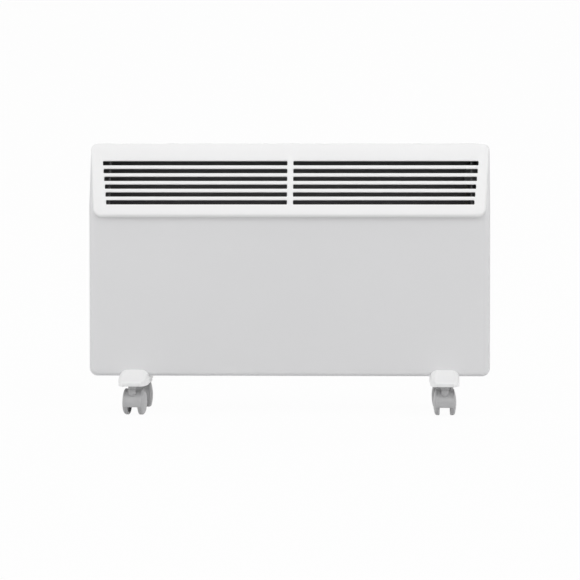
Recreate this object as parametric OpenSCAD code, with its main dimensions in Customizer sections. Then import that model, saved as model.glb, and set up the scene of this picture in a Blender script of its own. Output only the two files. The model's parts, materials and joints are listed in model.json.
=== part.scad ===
// Panel convector heater on castor feet
// Millimetres, +Z up, the front faces -Y, the floor is z = 0

/* [Casing] */
// Width of the casing
body_w = 595; // [560:5:680]
// Height of the casing from its underside to its top
body_h = 345; // [325:5:380]
// Depth of the casing from the flat front to the back
body_depth = 95; // [90:1:104]
// How far the casing's middle lies behind the middle of the feet
body_shift = 4.5; // [0:0.5:8]
// Thickness of the steel sheet
sheet = 0.8; // [0.6:0.1:1.2]
// Radius of the upright edges
side_round = 9.5; // [7:0.5:11]
// Radius of the lower edges, seen from the side
edge_round = 6; // [4:0.5:8]
// Radius of the lower corners, seen from the front
low_corner = 12; // [10:0.5:15]
// Radius of the upper corners, seen from the front
top_corner = 10.5; // [9:0.5:14]
// Height of the upright front below the slope
bend_h = 254; // [246:1:260]
// Lean of the upper front from upright, in degrees
slope_lean = 16; // [13:1:18]
// Depth of the front panel's flanges, from its face to the seam
seam_depth = 38; // [34:1:42]
// Overlap of the rear casing's lip inside those flanges
lap = 7; // [6:0.5:9]

/* [Outlet grille] */
// How far the grille's top stands in from the casing's sides
grille_inset = 0.5; // [0.5:0.5:3]
// How much further the grille's lower lip stands in, on each side
grille_taper = 7.75; // [4:0.25:10]
// How far the grille stands out from the sloping front
grille_proud = 5; // [4.5:0.5:7]
// Length of the grille above the bend, along the slope
grille_rise = 94.5; // [90:0.5:96]
// Length of the grille below the bend, along the slope
grille_drop = 18.2; // [14:0.2:22]
// Wall of the grille moulding
grille_wall = 2.2; // [1.8:0.1:2.6]
// Rounding of the grille's front edge
grille_edge = 3.6; // [2.5:0.1:4.2]
// Corner radius at the grille's top
grille_top_r = 10.5; // [9:0.5:14]
// Corner radius at the grille's lower lip
grille_low_r = 12; // [8:0.5:13]
// Number of slot rows
slot_rows = 6; // [4:1:6]
// Distance between slot rows, along the slope
slot_pitch = 12.04; // [11:0.01:12.5]
// Height of a slot, along the slope
slot_h = 7.4; // [5.5:0.1:7.5]
// Distance of the lowest slot row above the bend, along the slope
slot_first = 2.7; // [2:0.1:6]
// Margin beside the lowest slot row
slot_low_margin = 17.8; // [17:0.1:24]
// Margin beside the highest slot row
slot_top_margin = 14.8; // [14:0.1:22]
// How far the slots stand to the right of the grille's middle
slot_side = 1.3; // [0:0.1:2]
// Rounding of the slot corners
slot_corner = 1.4; // [0.8:0.1:2]
// Width of the bar that parts the slots in the middle
centre_bar = 8.7; // [6:0.1:12]
// Thickness of the blades behind the bars
blade_t = 1.8; // [1.4:0.1:2.4]
// Depth of the blades behind the bars
blade_depth = 5; // [4:0.5:8]

/* [Feet] */
// Distance from the casing's side to the middle of a foot
foot_inset = 67.5; // [56:0.5:80]
// Width of a foot
foot_w = 45; // [43:0.5:48]
// Width of a foot behind the casing
foot_rear_w = 35; // [32:0.5:38]
// Length of a foot, front to back
foot_l = 177; // [174:1:186]
// Height of a foot's tip
foot_tip_h = 6; // [5:0.5:7]
// Height of a foot where it meets the casing
foot_arch_h = 21.3; // [20:0.1:23]
// Height of a foot's bar under the casing
foot_bar_h = 11.5; // [11:0.5:13]
// Width of the rounding at a corner of a foot's tip, from above
foot_tip_r = 9; // [7:0.5:10]
// Length of the rounding at a corner of a foot's tip, from above
foot_tip_l = 34; // [28:1:34]
// Radius of a foot's shoulders where it meets the casing
foot_shoulder = 10; // [8:0.5:10]
// Wall of the foot moulding
foot_wall = 2.4; // [2:0.1:3]
// Distance between the two castor stems of a foot
stem_span = 140; // [137:1:144]

/* [Castors] */
// Radius of a castor wheel
wheel_r = 18.25; // [17.5:0.25:19.5]
// Width of a castor wheel
wheel_w = 9.2; // [8.5:0.1:10]
// Gap between the two wheels of a castor
wheel_gap = 15.6; // [13.5:0.1:16.5]
// Distance from the stem's axis back to the wheels' axis
trail = 15; // [14:0.5:16]
// Turn of the front left castor about its stem, in degrees
castor_turn = -7; // [-20:1:20]
// Width of a castor's hood
hood_w = 28; // [25:0.5:30]
// Wall of a castor's hood
hood_wall = 1.4; // [1.2:0.1:1.8]
// Gap between a wheel and the hood
hood_gap = 0.65; // [0.5:0.05:0.9]
// Height of the hood's front edge above the floor
hood_edge_h = 12.4; // [10:0.2:14]
// Clear height between the hood and the foot
collar_h = 5.6; // [5:0.1:7]
// Radius of a castor stem
stem_r = 4; // [3.5:0.1:4.5]
// Radius of a wheel axle
axle_r = 2.5; // [2:0.1:3]

/* [Controls] */
// Width of the control recess, front to back
control_w = 34; // [32:1:36]
// Height of the control recess
control_h = 136; // [130:1:144]
// Depth of the control recess
control_depth = 14; // [12.5:0.5:15]
// Height of the control recess above the casing's underside
control_rise = 180; // [150:2:190]
// Middle of the control recess behind the middle of the feet
control_y = 22; // [20:0.5:23]
// Radius of the thermostat knob
knob_r = 13; // [11:0.5:13.5]
// Height of the knob above the recess floor
knob_h = 11.2; // [9:0.1:11.4]
// Length of a switch rocker
rocker_l = 18; // [16:0.5:20]
// Width of a switch rocker
rocker_w = 11.4; // [10:0.1:12]

/* [Heater] */
// Distance from the casing's left side to the finned element
element_left = 72.5; // [65:0.5:90]
// Distance from the casing's right side to the finned element
element_right = 102.5; // [95:0.5:120]
// Height of the element's axis above the casing's underside
element_rise = 52; // [48:1:60]
// Length of the element's fins from its axis
fin_l = 34; // [28:1:36]
// Thickness of the element's fins
fin_t = 1.6; // [1.2:0.1:2.2]
// Angle between the fins and upright, in degrees
fin_angle = 28; // [22:1:32]
// Radius of the sheathed heating rod
rod_r = 4; // [3.5:0.1:4.5]

/* [Wall hanging] */
// Distance from the casing's side to a keyhole
keyhole_inset = 111.5; // [100:0.5:130]
// Distance of the keyholes below the casing's top
keyhole_drop = 48; // [40:1:60]
// Radius of a keyhole's round part
keyhole_r = 5; // [4.5:0.1:5.5]
// Radius of a keyhole's narrow part
keyhole_neck_r = 2.6; // [2.3:0.1:2.8]
// Length of a keyhole's narrow part
keyhole_neck_l = 9; // [7:0.5:12]

/* [Hidden] */
$fn = 96;

shell_white = "#F1F1F1";
grille_white = "#F7F7F7";
castor_grey = "#8E8E90";
tread_grey = "#3C3C3E";
steel_grey = "#A9ABAE";
dark_grey = "#3A3A3C";
wire_white = "#D9D6CF";

over = 1;
least_r = 0.3;
seat_gap = 0.2;
move_gap = 0.4;
fit_gap = 0.05;
disc_fn = 32;

hood_r = wheel_r + hood_gap + hood_wall;
foot_z = wheel_r + hood_r + collar_h;
body_z = foot_z + foot_bar_h + seat_gap;
body_top = body_z + body_h;
front_y = body_shift - body_depth / 2;
back_y = body_shift + body_depth / 2;
seam_y = front_y + seam_depth;
seam_gap = 0.3;
lap_gap = 0.15;
bend_z = body_z + bend_h;
inner_back = back_y - sheet;
inner_floor = body_z + sheet;
inner_side = body_w / 2 - sheet;
lap_floor = body_z + 2 * sheet + seat_gap;
reach = 2 * body_h;
foot_x = body_w / 2 - foot_inset;
keyhole_x = body_w / 2 - keyhole_inset;
grille_top_w = body_w - 2 * grille_inset;
grille_low_w = grille_top_w - 2 * grille_taper;

// A flat rectangle with rounded corners, the lower two of one radius and the upper two of another
module round_rect(x0, x1, y0, y1, low_r, high_r) {
  difference() {
    translate([x0, y0]) square([x1 - x0, y1 - y0]);
    for (sx = [0, 1]) corner_cut(sx ? x1 : x0, y0, sx, 0, max(low_r, least_r));
    for (sx = [0, 1]) corner_cut(sx ? x1 : x0, y1, sx, 1, max(high_r, least_r));
  }
}

// What lies outside a corner's arc; sx and sy are 0 at the low side and 1 at the high side
module corner_cut(x, y, sx, sy, r) {
  translate([sx ? x - r : x + r, sy ? y - r : y + r]) difference() {
    translate([sx ? 0 : -r - over, sy ? 0 : -r - over]) square(r + over);
    circle(r);
  }
}

module box(x0, x1, y0, y1, z0, z1) {
  translate([x0, y0, z0]) cube([x1 - x0, y1 - y0, z1 - z0]);
}

// Carries an outline drawn in X and Z from y0 to y1
module along_y(y0, y1) {
  translate([0, y1, 0]) rotate([90, 0, 0]) linear_extrude(y1 - y0) children();
}

// Carries an outline drawn in Y and Z from x0 to x1
module along_x(x0, x1) {
  translate([x0, 0, 0]) rotate([90, 0, 90]) linear_extrude(x1 - x0) children();
}

module along_z(z0, z1) {
  translate([0, 0, z0]) linear_extrude(z1 - z0) children();
}

module rod_x(x0, x1, y, z, r) {
  translate([x0, y, z]) rotate([0, 90, 0]) cylinder(h = x1 - x0, r = r);
}

module rod_y(x, y0, y1, z, r) {
  translate([x, y1, z]) rotate([90, 0, 0]) cylinder(h = y1 - y0, r = r);
}

module rod_z(x, y, z0, z1, r) {
  translate([x, y, z0]) cylinder(h = z1 - z0, r = r);
}

// The frame of the sloping front: its origin is on the bend, its Z runs up the slope
module on_slope() {
  translate([0, front_y, bend_z]) rotate([-slope_lean, 0, 0]) children();
}

// The solid form of the casing, drawn in on every side by inset
module casing_form(inset) {
  intersection() {
    along_z(body_z + inset, body_top - inset)
      round_rect(
        -body_w / 2 + inset, body_w / 2 - inset, front_y + inset, back_y - inset,
        side_round - inset, side_round - inset
      );
    on_slope() along_z(-reach, reach)
      round_rect(
        -body_w / 2 + inset, body_w / 2 - inset, inset, reach,
        side_round - inset, side_round
      );
    along_y(front_y - over, back_y + over)
      round_rect(
        -body_w / 2 + inset, body_w / 2 - inset, body_z + inset, body_top - inset,
        low_corner - inset, top_corner - inset
      );
    along_x(-body_w / 2 - over, body_w / 2 + over)
      round_rect(
        front_y + inset, back_y - inset, body_z + inset, body_top - inset,
        edge_round - inset, edge_round / 2 - inset
      );
  }
}

intake_foot_gap = 27;
intake_w = 2 * foot_x - foot_w - 2 * intake_foot_gap;
intake_front = 9;
intake_back = 9;
window_margin = 13;
window_drop = 8;
window_rise = 74;
case_screw_r = 1.9;
screw_gap = 0.16;
case_screw_hole_r = case_screw_r + screw_gap;
case_screw_head_r = 3.6;
case_screw_head_h = 2;
case_screw_l = 7;
case_screw_y = seam_y - lap / 2;
case_screw_inner_gap = 11;
case_screw_outer_gap = 20;
case_screw_inner_x = intake_w / 2 + case_screw_inner_gap;
case_screw_outer_x = foot_x + foot_w / 2 + case_screw_outer_gap;
foot_screw_r = 2.4;
foot_screw_hole_r = foot_screw_r + screw_gap;
foot_screw_head_r = 4.5;
foot_screw_head_h = 2.6;
foot_screw_l = 10;
foot_screw_front = 17;
foot_screw_back = 35;
foot_screw_front_y = seam_y - foot_screw_front;
foot_screw_back_y = seam_y + foot_screw_back;

// The air's way in through the underside
module underside_window() {
  box(
    -intake_w / 2, intake_w / 2, front_y + intake_front, back_y - intake_back,
    body_z - over, lap_floor + over
  );
}

module case_screw_places() {
  for (s = [-1, 1]) translate([s * case_screw_inner_x, case_screw_y, body_z]) children();
  for (s = [-1, 1]) translate([s * case_screw_outer_x, case_screw_y, body_z]) children();
}

module foot_screw_places() {
  for (s = [-1, 1]) for (y = [foot_screw_front_y, foot_screw_back_y])
    translate([s * foot_x, y, body_z]) children();
}

module floor_holes() {
  case_screw_places() translate([0, 0, -over]) cylinder(h = 3 * over + sheet, r = case_screw_hole_r);
  foot_screw_places() translate([0, 0, -over]) cylinder(h = 3 * over + sheet, r = foot_screw_hole_r);
}

// The opening in the front that the outlet grille covers
module outlet_window() {
  on_slope() along_y(-reach, body_depth / 4)
    round_rect(
      -grille_low_w / 2 + window_margin, grille_low_w / 2 - window_margin,
      -window_drop, window_rise, grille_low_r / 2, grille_low_r / 2
    );
}

// Front sheet: flat face, rounded edges, leaning top and flanges back to the seam
module front_panel() color(shell_white) difference() {
  casing_form(0);
  casing_form(sheet);
  box(-body_w, body_w, seam_y, back_y + over, 0, body_top + over);
  outlet_window();
  underside_window();
  floor_holes();
}

control_z0 = body_z + control_rise;
control_z1 = control_z0 + control_h;
control_y0 = control_y - control_w / 2;
control_y1 = control_y + control_w / 2;
control_r = 4;
gland_foot_gap = 20.5;
gland_rise = 20;
gland_x = foot_x + foot_w / 2 + gland_foot_gap;
gland_z = body_z + gland_rise;
gland_body_r = 6.5;
gland_flange_r = 9;
back_slots = 22;
back_slot_w = 5;
back_slot_l = 30;
back_slot_pitch = intake_w / (back_slots + 1);
back_slot_rise = 20;

module keyholes() {
  for (s = [-1, 1]) translate([s * keyhole_x, 0, body_top - keyhole_drop]) {
    rod_y(0, inner_back - over, back_y + over, 0, keyhole_r);
    rod_y(0, inner_back - over, back_y + over, keyhole_neck_l, keyhole_neck_r);
    box(
      -keyhole_neck_r, keyhole_neck_r, inner_back - over, back_y + over,
      0, keyhole_neck_l
    );
  }
}

// A row of upright round-ended slots low in the back
module back_intake() {
  along_y(inner_back - over, back_y + over)
    for (k = [0 : back_slots - 1])
      translate([(k - (back_slots - 1) / 2) * back_slot_pitch, body_z + back_slot_rise]) {
        translate([-back_slot_w / 2, back_slot_w / 2])
          square([back_slot_w, back_slot_l - back_slot_w]);
        translate([0, back_slot_w / 2]) circle(back_slot_w / 2);
        translate([0, back_slot_l - back_slot_w / 2]) circle(back_slot_w / 2);
      }
}

module control_outline(grow) {
  round_rect(
    control_y0 - grow, control_y1 + grow, control_z0 - grow, control_z1 + grow,
    control_r + grow, control_r + grow
  );
}

// Rear tray: back, sides, top and floor behind the seam, with a lip that laps inside the front
module rear_casing() color(shell_white) difference() {
  union() {
    difference() {
      casing_form(0);
      casing_form(2 * sheet);
      box(-body_w, body_w, front_y - over, seam_y + seam_gap, 0, body_top + over);
      rear_hollow();
    }
    difference() {
      casing_form(sheet + lap_gap);
      casing_form(2 * sheet);
      box(-body_w, body_w, front_y - over, seam_y - lap, 0, body_top + over);
      box(-body_w, body_w, seam_y + lap / 2, back_y + over, 0, body_top + over);
    }
  }
  underside_window();
  floor_holes();
  keyholes();
  back_intake();
  rod_y(gland_x, inner_back - over, back_y + over, gland_z, gland_body_r + seat_gap);
  along_x(inner_side - over, body_w / 2 + over) control_outline(seat_gap);
}

// The casing's inside behind the lip
module rear_hollow() {
  difference() {
    casing_form(sheet);
    box(-body_w, body_w, front_y - over, seam_y + lap / 2, 0, body_top + over);
  }
}

intake_slots = 23;
intake_slot_w = 9;
intake_slot_pitch = intake_w / (intake_slots + 1);
intake_plate_t = 1.5;
intake_rim = 5;

// Slotted plate on the casing's floor, over the air's way in
module intake_grille() color(grille_white) difference() {
  along_z(lap_floor, lap_floor + intake_plate_t)
    round_rect(
      -intake_w / 2 - intake_rim, intake_w / 2 + intake_rim,
      front_y + intake_front - intake_rim / 2, back_y - intake_back + intake_rim / 2,
      intake_rim / 2, intake_rim / 2
    );
  for (k = [0 : intake_slots - 1]) {
    x = (k - (intake_slots - 1) / 2) * intake_slot_pitch;
    for (side = [0, 1])
      along_z(lap_floor - over, lap_floor + intake_plate_t + over)
        round_rect(
          x - intake_slot_w / 2, x + intake_slot_w / 2,
          side ? body_shift + intake_rim / 2 : front_y + intake_front + intake_rim / 2,
          side ? back_y - intake_back - intake_rim / 2 : body_shift - intake_rim / 2,
          intake_slot_w / 3, intake_slot_w / 3
        );
  }
}

slot_last = slot_first + (slot_rows - 1) * slot_pitch;
grille_depth = 14;
grille_rib_share = 0.4513;
rib_t = 2;
rib_stand = 3;
arc_steps = 8;
slot_corner_fn = 12;
grille_lean = atan((grille_top_w - grille_low_w) / 2 / (grille_rise + grille_drop));

// Half the grille's width at height v along the slope
function grille_half(v) = grille_top_w / 2 - (grille_rise - v) * tan(grille_lean);

// Half the length of a slot row at height v, whose ends lean with the rows' margins
function slot_half(v) =
  grille_half(v) - slot_low_margin
  - (slot_top_margin - slot_low_margin) * (v - slot_first) / (slot_last - slot_first);

// The right-hand arc of a corner of the grille's outline, centred at height v
function corner_arc(v, r, inset, a0, a1) = [
  for (k = [0 : arc_steps]) let (a = a0 + (a1 - a0) * k / arc_steps) [
    grille_half(v) - r / cos(grille_lean) + (r - inset) * cos(a),
    v + (r - inset) * sin(a)
  ]
];

function mirrored(points) = [for (k = [len(points) - 1 : -1 : 0]) [-points[k][0], points[k][1]]];

// The grille's outline, wider at the top, drawn in by inset
module grille_outline(inset) {
  right = concat(
    corner_arc(grille_low_r - grille_drop, grille_low_r, inset, -90, -grille_lean),
    corner_arc(grille_rise - grille_top_r, grille_top_r, inset, -grille_lean, 90)
  );
  polygon(concat(right, mirrored(right)));
}

// The hood's outside in the slope's frame: its outline, with the front edges rounded
module grille_outside() {
  intersection() {
    along_y(-grille_proud, grille_depth) grille_outline(0);
    along_x(-body_w, body_w)
      round_rect(
        -grille_proud, reach, -grille_drop, grille_rise, grille_edge, grille_edge
      );
    for (s = [0, 1]) mirror([s, 0, 0])
      translate([grille_half(0), 0, 0]) rotate([0, grille_lean, 0]) along_z(-reach, reach)
        round_rect(-2 * body_w, 0, -grille_proud, reach, grille_edge, grille_edge);
  }
}

// What the hood's skirt stands on: the front below the bend and the slope above it
module skirt_cut() {
  intersection() {
    along_z(body_z, body_top + body_depth)
      round_rect(
        -body_w / 2 - seat_gap, body_w / 2 + seat_gap, front_y - seat_gap, reach,
        side_round, side_round
      );
    on_slope() along_z(-reach, reach)
      round_rect(
        -body_w / 2 - seat_gap, body_w / 2 + seat_gap, -seat_gap, reach,
        side_round, side_round
      );
  }
}

// One slot left or right of the centre bar, as an outline in X and the slope's Z
module slot_outline(s, v) {
  low = v - slot_h / 2;
  high = v + slot_h / 2;
  translate([slot_side, 0]) offset(r = slot_corner, $fn = slot_corner_fn) offset(delta = -slot_corner) polygon([
    [s * centre_bar / 2, low],
    [s * slot_half(low), low],
    [s * slot_half(high), high],
    [s * centre_bar / 2, high]
  ]);
}

// Moulded outlet hood: rounded plate, two columns of slots, a skirt down to the casing,
// and a blade behind each bar
module outlet_grille() color(grille_white) {
  back = -grille_proud + grille_wall;
  grille_rib_x = grille_rib_share * body_w;
  difference() {
    on_slope() grille_outside();
    on_slope() along_y(back, grille_depth + over) grille_outline(grille_wall);
    skirt_cut();
    on_slope() along_y(-grille_proud - over, back + over)
      for (k = [0 : slot_rows - 1]) for (s = [-1, 1]) slot_outline(s, slot_first + k * slot_pitch);
  }
  on_slope() translate([slot_side, 0, 0]) for (k = [1 : slot_rows - 1]) {
    v = slot_first + (k - 0.5) * slot_pitch;
    x = slot_half(v - slot_pitch / 2) - rib_t;
    box(-x, x, back - least_r, back + blade_depth, v - blade_t / 2, v + blade_t / 2);
  }
  on_slope() translate([slot_side, 0, 0]) for (x = [-grille_rib_x, 0, grille_rib_x])
    box(
      x - rib_t / 2, x + rib_t / 2, back + blade_depth / 2, back + blade_depth + rib_stand,
      slot_first - slot_pitch / 2, slot_last + slot_pitch / 2
    );
}

element_x0 = -body_w / 2 + element_left;
element_x1 = body_w / 2 - element_right;
element_back = 4.5;
element_y = body_shift + element_back;
element_z = body_z + element_rise;
element_tube_wall = 3;
element_tube_r = rod_r + element_tube_wall;
fin_tip_r = 2;
side_fin_l = 13;
bracket_t = 1;
bracket_w = 18;
bracket_gap = 7;
bracket_foot = 12;
bush_wall = 3;
bush_rim = 2;
bush_r = rod_r + bush_wall;
bush_flange_r = bush_r + bush_rim;
bush_flange_t = 2;
rod_over = 25;

// Section of the element: a tube with four long thick-tipped fins and two short side fins
module element_profile() {
  difference() {
    union() {
      circle(element_tube_r);
      for (a = [-fin_angle, fin_angle, 180 - fin_angle, 180 + fin_angle]) rotate(a) {
        translate([-fin_t / 2, 0]) square([fin_t, fin_l - fin_tip_r]);
        translate([0, fin_l - fin_tip_r]) circle(fin_tip_r);
      }
      for (a = [90, 270]) rotate(a) translate([-fin_t / 2, 0]) square([fin_t, side_fin_l]);
    }
    circle(rod_r + fit_gap);
  }
}

module heating_element() color(steel_grey)
  along_x(element_x0, element_x1) translate([element_y, element_z]) element_profile();

module element_rod() color(dark_grey)
  rod_x(element_x0 - rod_over, element_x1 + rod_over, element_y, element_z, rod_r);

// Upright sheet bracket with a foot on the casing's floor; s is the side that the foot points to
module element_bracket(x, s) color(steel_grey) difference() {
  union() {
    box(
      x - bracket_t / 2, x + bracket_t / 2, element_y - bracket_w / 2, element_y + bracket_w / 2,
      inner_floor, element_z + bracket_w / 2
    );
    box(
      s > 0 ? x - bracket_t / 2 : x - bracket_foot, s > 0 ? x + bracket_foot : x + bracket_t / 2,
      element_y - bracket_w / 2, element_y + bracket_w / 2, inner_floor, inner_floor + bracket_t
    );
  }
  rod_x(x - bracket_t, x + bracket_t, element_y, element_z, bush_r + fit_gap);
}

bracket_left_x = element_x0 - bracket_gap;
bracket_right_x = element_x1 + bracket_gap;

module element_bracket_left() element_bracket(bracket_left_x, 1);
module element_bracket_right() element_bracket(bracket_right_x, -1);

// Ceramic bush whose flange bears on a bracket, on the side of the element
module insulator(x, s) {
  translate([x, element_y, element_z]) rotate([0, 90 * s, 0]) rotate_extrude() {
    translate([rod_r + fit_gap, -bush_flange_t * 1.5])
      square([bush_r - rod_r - fit_gap, bush_flange_t * 3]);
    translate([rod_r + fit_gap, bracket_t / 2])
      square([bush_flange_r - rod_r - fit_gap, bush_flange_t]);
  }
}

module element_insulators() color(wire_white) {
  insulator(bracket_left_x, 1);
  insulator(bracket_right_x, -1);
}

tab_l = 8;
tab_w = 6.3;

// Stud and blade at each end of the rod
module element_terminals() color(steel_grey) {
  for (s = [-1, 1]) {
    x = s > 0 ? element_x1 + rod_over : element_x0 - rod_over;
    rod_x(s > 0 ? x : x - tab_l / 2, s > 0 ? x + tab_l / 2 : x, element_y, element_z, rod_r / 2);
    box(
      s > 0 ? x + tab_l / 4 : x - tab_l, s > 0 ? x + tab_l : x - tab_l / 4,
      element_y - tab_w / 2, element_y + tab_w / 2, element_z - bracket_t / 2, element_z + bracket_t / 2
    );
  }
}

shield_t = 0.6;
shield_stand = 13.5;
shield_y = inner_back - shield_stand;
shield_rise = 16;
shield_h = 218;
shield_foot = 8;
shield_x0 = element_x0;
shield_x1 = element_x1;

// Sheet that keeps the heat off the back: a shallow tray with feet against the back
module heat_shield() color(dark_grey) {
  along_z(body_z + shield_rise, body_z + shield_rise + shield_h) polygon([
    [shield_x0, shield_y],
    [shield_x1, shield_y],
    [shield_x1, inner_back - shield_t],
    [shield_x1 + shield_foot, inner_back - shield_t],
    [shield_x1 + shield_foot, inner_back],
    [shield_x1 - shield_t, inner_back],
    [shield_x1 - shield_t, shield_y + shield_t],
    [shield_x0 + shield_t, shield_y + shield_t],
    [shield_x0 + shield_t, inner_back],
    [shield_x0 - shield_foot, inner_back],
    [shield_x0 - shield_foot, inner_back - shield_t],
    [shield_x0, inner_back - shield_t]
  ]);
}

cutout_r = 8.5;
cutout_h = 6;
cutout_end_gap = 70;
cutout_rise = 60;
cutout_x = element_x1 - cutout_end_gap;
cutout_z = element_z + cutout_rise;
cutout_ear = 13;
cutout_ear_w = 8;

// Disc thermostat on the shield, with two ears
module thermal_cutout() color(steel_grey) {
  rod_y(cutout_x, shield_y - cutout_h, shield_y, cutout_z, cutout_r);
  box(
    cutout_x - cutout_ear, cutout_x + cutout_ear, shield_y - shield_t, shield_y,
    cutout_z - cutout_ear_w / 2, cutout_z + cutout_ear_w / 2
  );
}

tilt_w = 18;
tilt_h = 26;
tilt_depth = 12;
tilt_side = 15;
tilt_rise = 100;
tilt_x = foot_x + tilt_side;
tilt_z = body_z + tilt_rise;
tilt_ear = 6;

// Sealed switch that opens when the heater tips over
module tilt_switch() color(dark_grey) {
  along_y(inner_back - tilt_depth, inner_back)
    translate([tilt_x, tilt_z]) round_rect(-tilt_w / 2, tilt_w / 2, 0, tilt_h, shield_t, tilt_w / 3);
  box(
    tilt_x - tilt_w / 2 - tilt_ear, tilt_x + tilt_w / 2 + tilt_ear, inner_back - shield_t * 3,
    inner_back, tilt_z, tilt_z + tilt_ear
  );
}

block_w = 28;
block_h = 16;
block_depth = 15;
block_side = 1;
block_gap = 15;
block_x = gland_x - block_side;
block_z = gland_z + gland_flange_r + block_gap;
block_ways = 3;
block_screw_r = 2.6;

// Terminal block with a row of screw wells
module terminal_block() color(wire_white) difference() {
  box(
    block_x - block_w / 2, block_x + block_w / 2, inner_back - block_depth, inner_back,
    block_z, block_z + block_h
  );
  for (k = [0 : block_ways - 1])
    rod_y(
      block_x + (k - 1) * block_w / block_ways, inner_back - block_depth - over,
      inner_back - block_depth / 2, block_z + block_h / 2, block_screw_r
    );
}

gland_bore_r = 3.7;
gland_flange_t = 3;
gland_nose = 9;
gland_nose_r = 6;
gland_nut_t = 4;
gland_tail = 7;

// Nylon gland: flange and nose outside the back, nut inside, one bore right through
module cable_gland() color(shell_white) translate([gland_x, back_y, gland_z]) rotate([-90, 0, 0])
  rotate_extrude() difference() {
    union() {
      translate([0, -sheet - gland_tail]) square([gland_body_r, sheet + gland_tail + over]);
      square([gland_flange_r, gland_flange_t]);
      translate([0, gland_flange_t / 2]) square([gland_nose_r, gland_nose - gland_flange_t / 2]);
      translate([0, -sheet - gland_nut_t]) square([gland_flange_r, gland_nut_t]);
    }
    translate([0, -reach / 2]) square([gland_bore_r, reach]);
  }

tray_wall = 1.8;
tray_flange = 3;
floor_x = body_w / 2 - control_depth;
knob_z = control_z1 - control_w / 2;
shaft_r = 3;
knob_rocker_gap = 26;
rocker_gap = 12;
rocker_upper_z = knob_z - knob_r - rocker_l / 2 - knob_rocker_gap;
rocker_lower_z = rocker_upper_z - rocker_l - rocker_gap;
switch_wall = 2;
switch_lip = 2;
switch_lip_t = 1.2;
switch_depth = 17;

// Recess in the side for the controls, with a flange behind the sheet
module control_panel() color(grille_white) difference() {
  union() {
    along_x(floor_x - tray_wall, body_w / 2 - seat_gap) control_outline(0);
    along_x(inner_side - tray_wall, inner_side) control_outline(tray_flange);
  }
  along_x(floor_x, body_w / 2 + over) control_outline(-tray_wall);
  rod_x(floor_x - tray_wall - over, floor_x + over, control_y, knob_z, shaft_r + fit_gap);
  for (z = [rocker_upper_z, rocker_lower_z])
    box(
      floor_x - tray_wall - over, floor_x + over,
      control_y - rocker_w / 2 - switch_wall - seat_gap, control_y + rocker_w / 2 + switch_wall + seat_gap,
      z - rocker_l / 2 - switch_wall - seat_gap, z + rocker_l / 2 + switch_wall + seat_gap
    );
}

thermostat_w = 30;
thermostat_depth = 20;

// Capillary thermostat behind the recess, whose bore carries the shaft
module thermostat_body() color(steel_grey) difference() {
  box(
    floor_x - tray_wall - thermostat_depth, floor_x - tray_wall,
    control_y - thermostat_w / 2, control_y + thermostat_w / 2,
    knob_z - thermostat_w / 2, knob_z + thermostat_w / 2
  );
  rod_x(floor_x - thermostat_depth, floor_x, control_y, knob_z, shaft_r + fit_gap);
}

baffle_gap = 2.5;
baffle_drop = 17;
baffle_x0 = -body_w / 2 + side_round + move_gap;
baffle_x1 = floor_x - tray_wall - baffle_gap;
baffle_z0 = body_z + shield_rise + shield_h + baffle_gap;
baffle_z1 = body_top - baffle_drop;

// Sheet that turns the warm air from the back to the outlet, with feet turned in on the back
module outlet_baffle() color(dark_grey) along_z(baffle_z0, baffle_z1) polygon([
  [baffle_x0, shield_y],
  [baffle_x1, shield_y],
  [baffle_x1, inner_back],
  [baffle_x1 - shield_foot, inner_back],
  [baffle_x1 - shield_foot, inner_back - shield_t],
  [baffle_x1 - shield_t, inner_back - shield_t],
  [baffle_x1 - shield_t, shield_y + shield_t],
  [baffle_x0 + shield_t, shield_y + shield_t],
  [baffle_x0 + shield_t, inner_back - shield_t],
  [baffle_x0 + shield_foot, inner_back - shield_t],
  [baffle_x0 + shield_foot, inner_back],
  [baffle_x0, inner_back]
]);

knob_lift = 0.6;
knob_grip_w = 5;
knob_skirt_h = 3.5;
knob_wall = 1.6;
pointer_w = 1.6;
pointer_depth = 0.6;

// Knob: a round skirt, a tapered drum and a raised grip bar with a pointer groove
module thermostat_knob() color(grille_white)
  translate([floor_x + knob_lift, control_y, knob_z]) rotate([0, 90, 0]) difference() {
    union() {
      cylinder(h = knob_skirt_h, r = knob_r);
      cylinder(h = knob_h - knob_skirt_h, r = knob_r - knob_wall);
      intersection() {
        cylinder(h = knob_h, r = knob_r - knob_wall);
        translate([-knob_r, -knob_grip_w / 2, 0]) cube([2 * knob_r, knob_grip_w, knob_h]);
      }
    }
    translate([0, 0, -over]) cylinder(h = knob_h / 2 + over, r = shaft_r + fit_gap);
    translate([-knob_r, -pointer_w / 2, knob_h - pointer_depth])
      cube([knob_r * 2 / 3, pointer_w, pointer_depth + over]);
  }

module thermostat_shaft() color(steel_grey)
  rod_x(floor_x - thermostat_depth + seat_gap, floor_x + knob_lift + knob_h / 2 - seat_gap,
    control_y, knob_z, shaft_r);

pivot_r = 1.3;
pivot_lift = 0.2;
pivot_x = floor_x + pivot_lift;
pivot_out = 1.2;
rocker_t = 4.6;
rocker_dip = 1.3;
rocker_depth = 4;
rocker_swing = 9;

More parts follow.
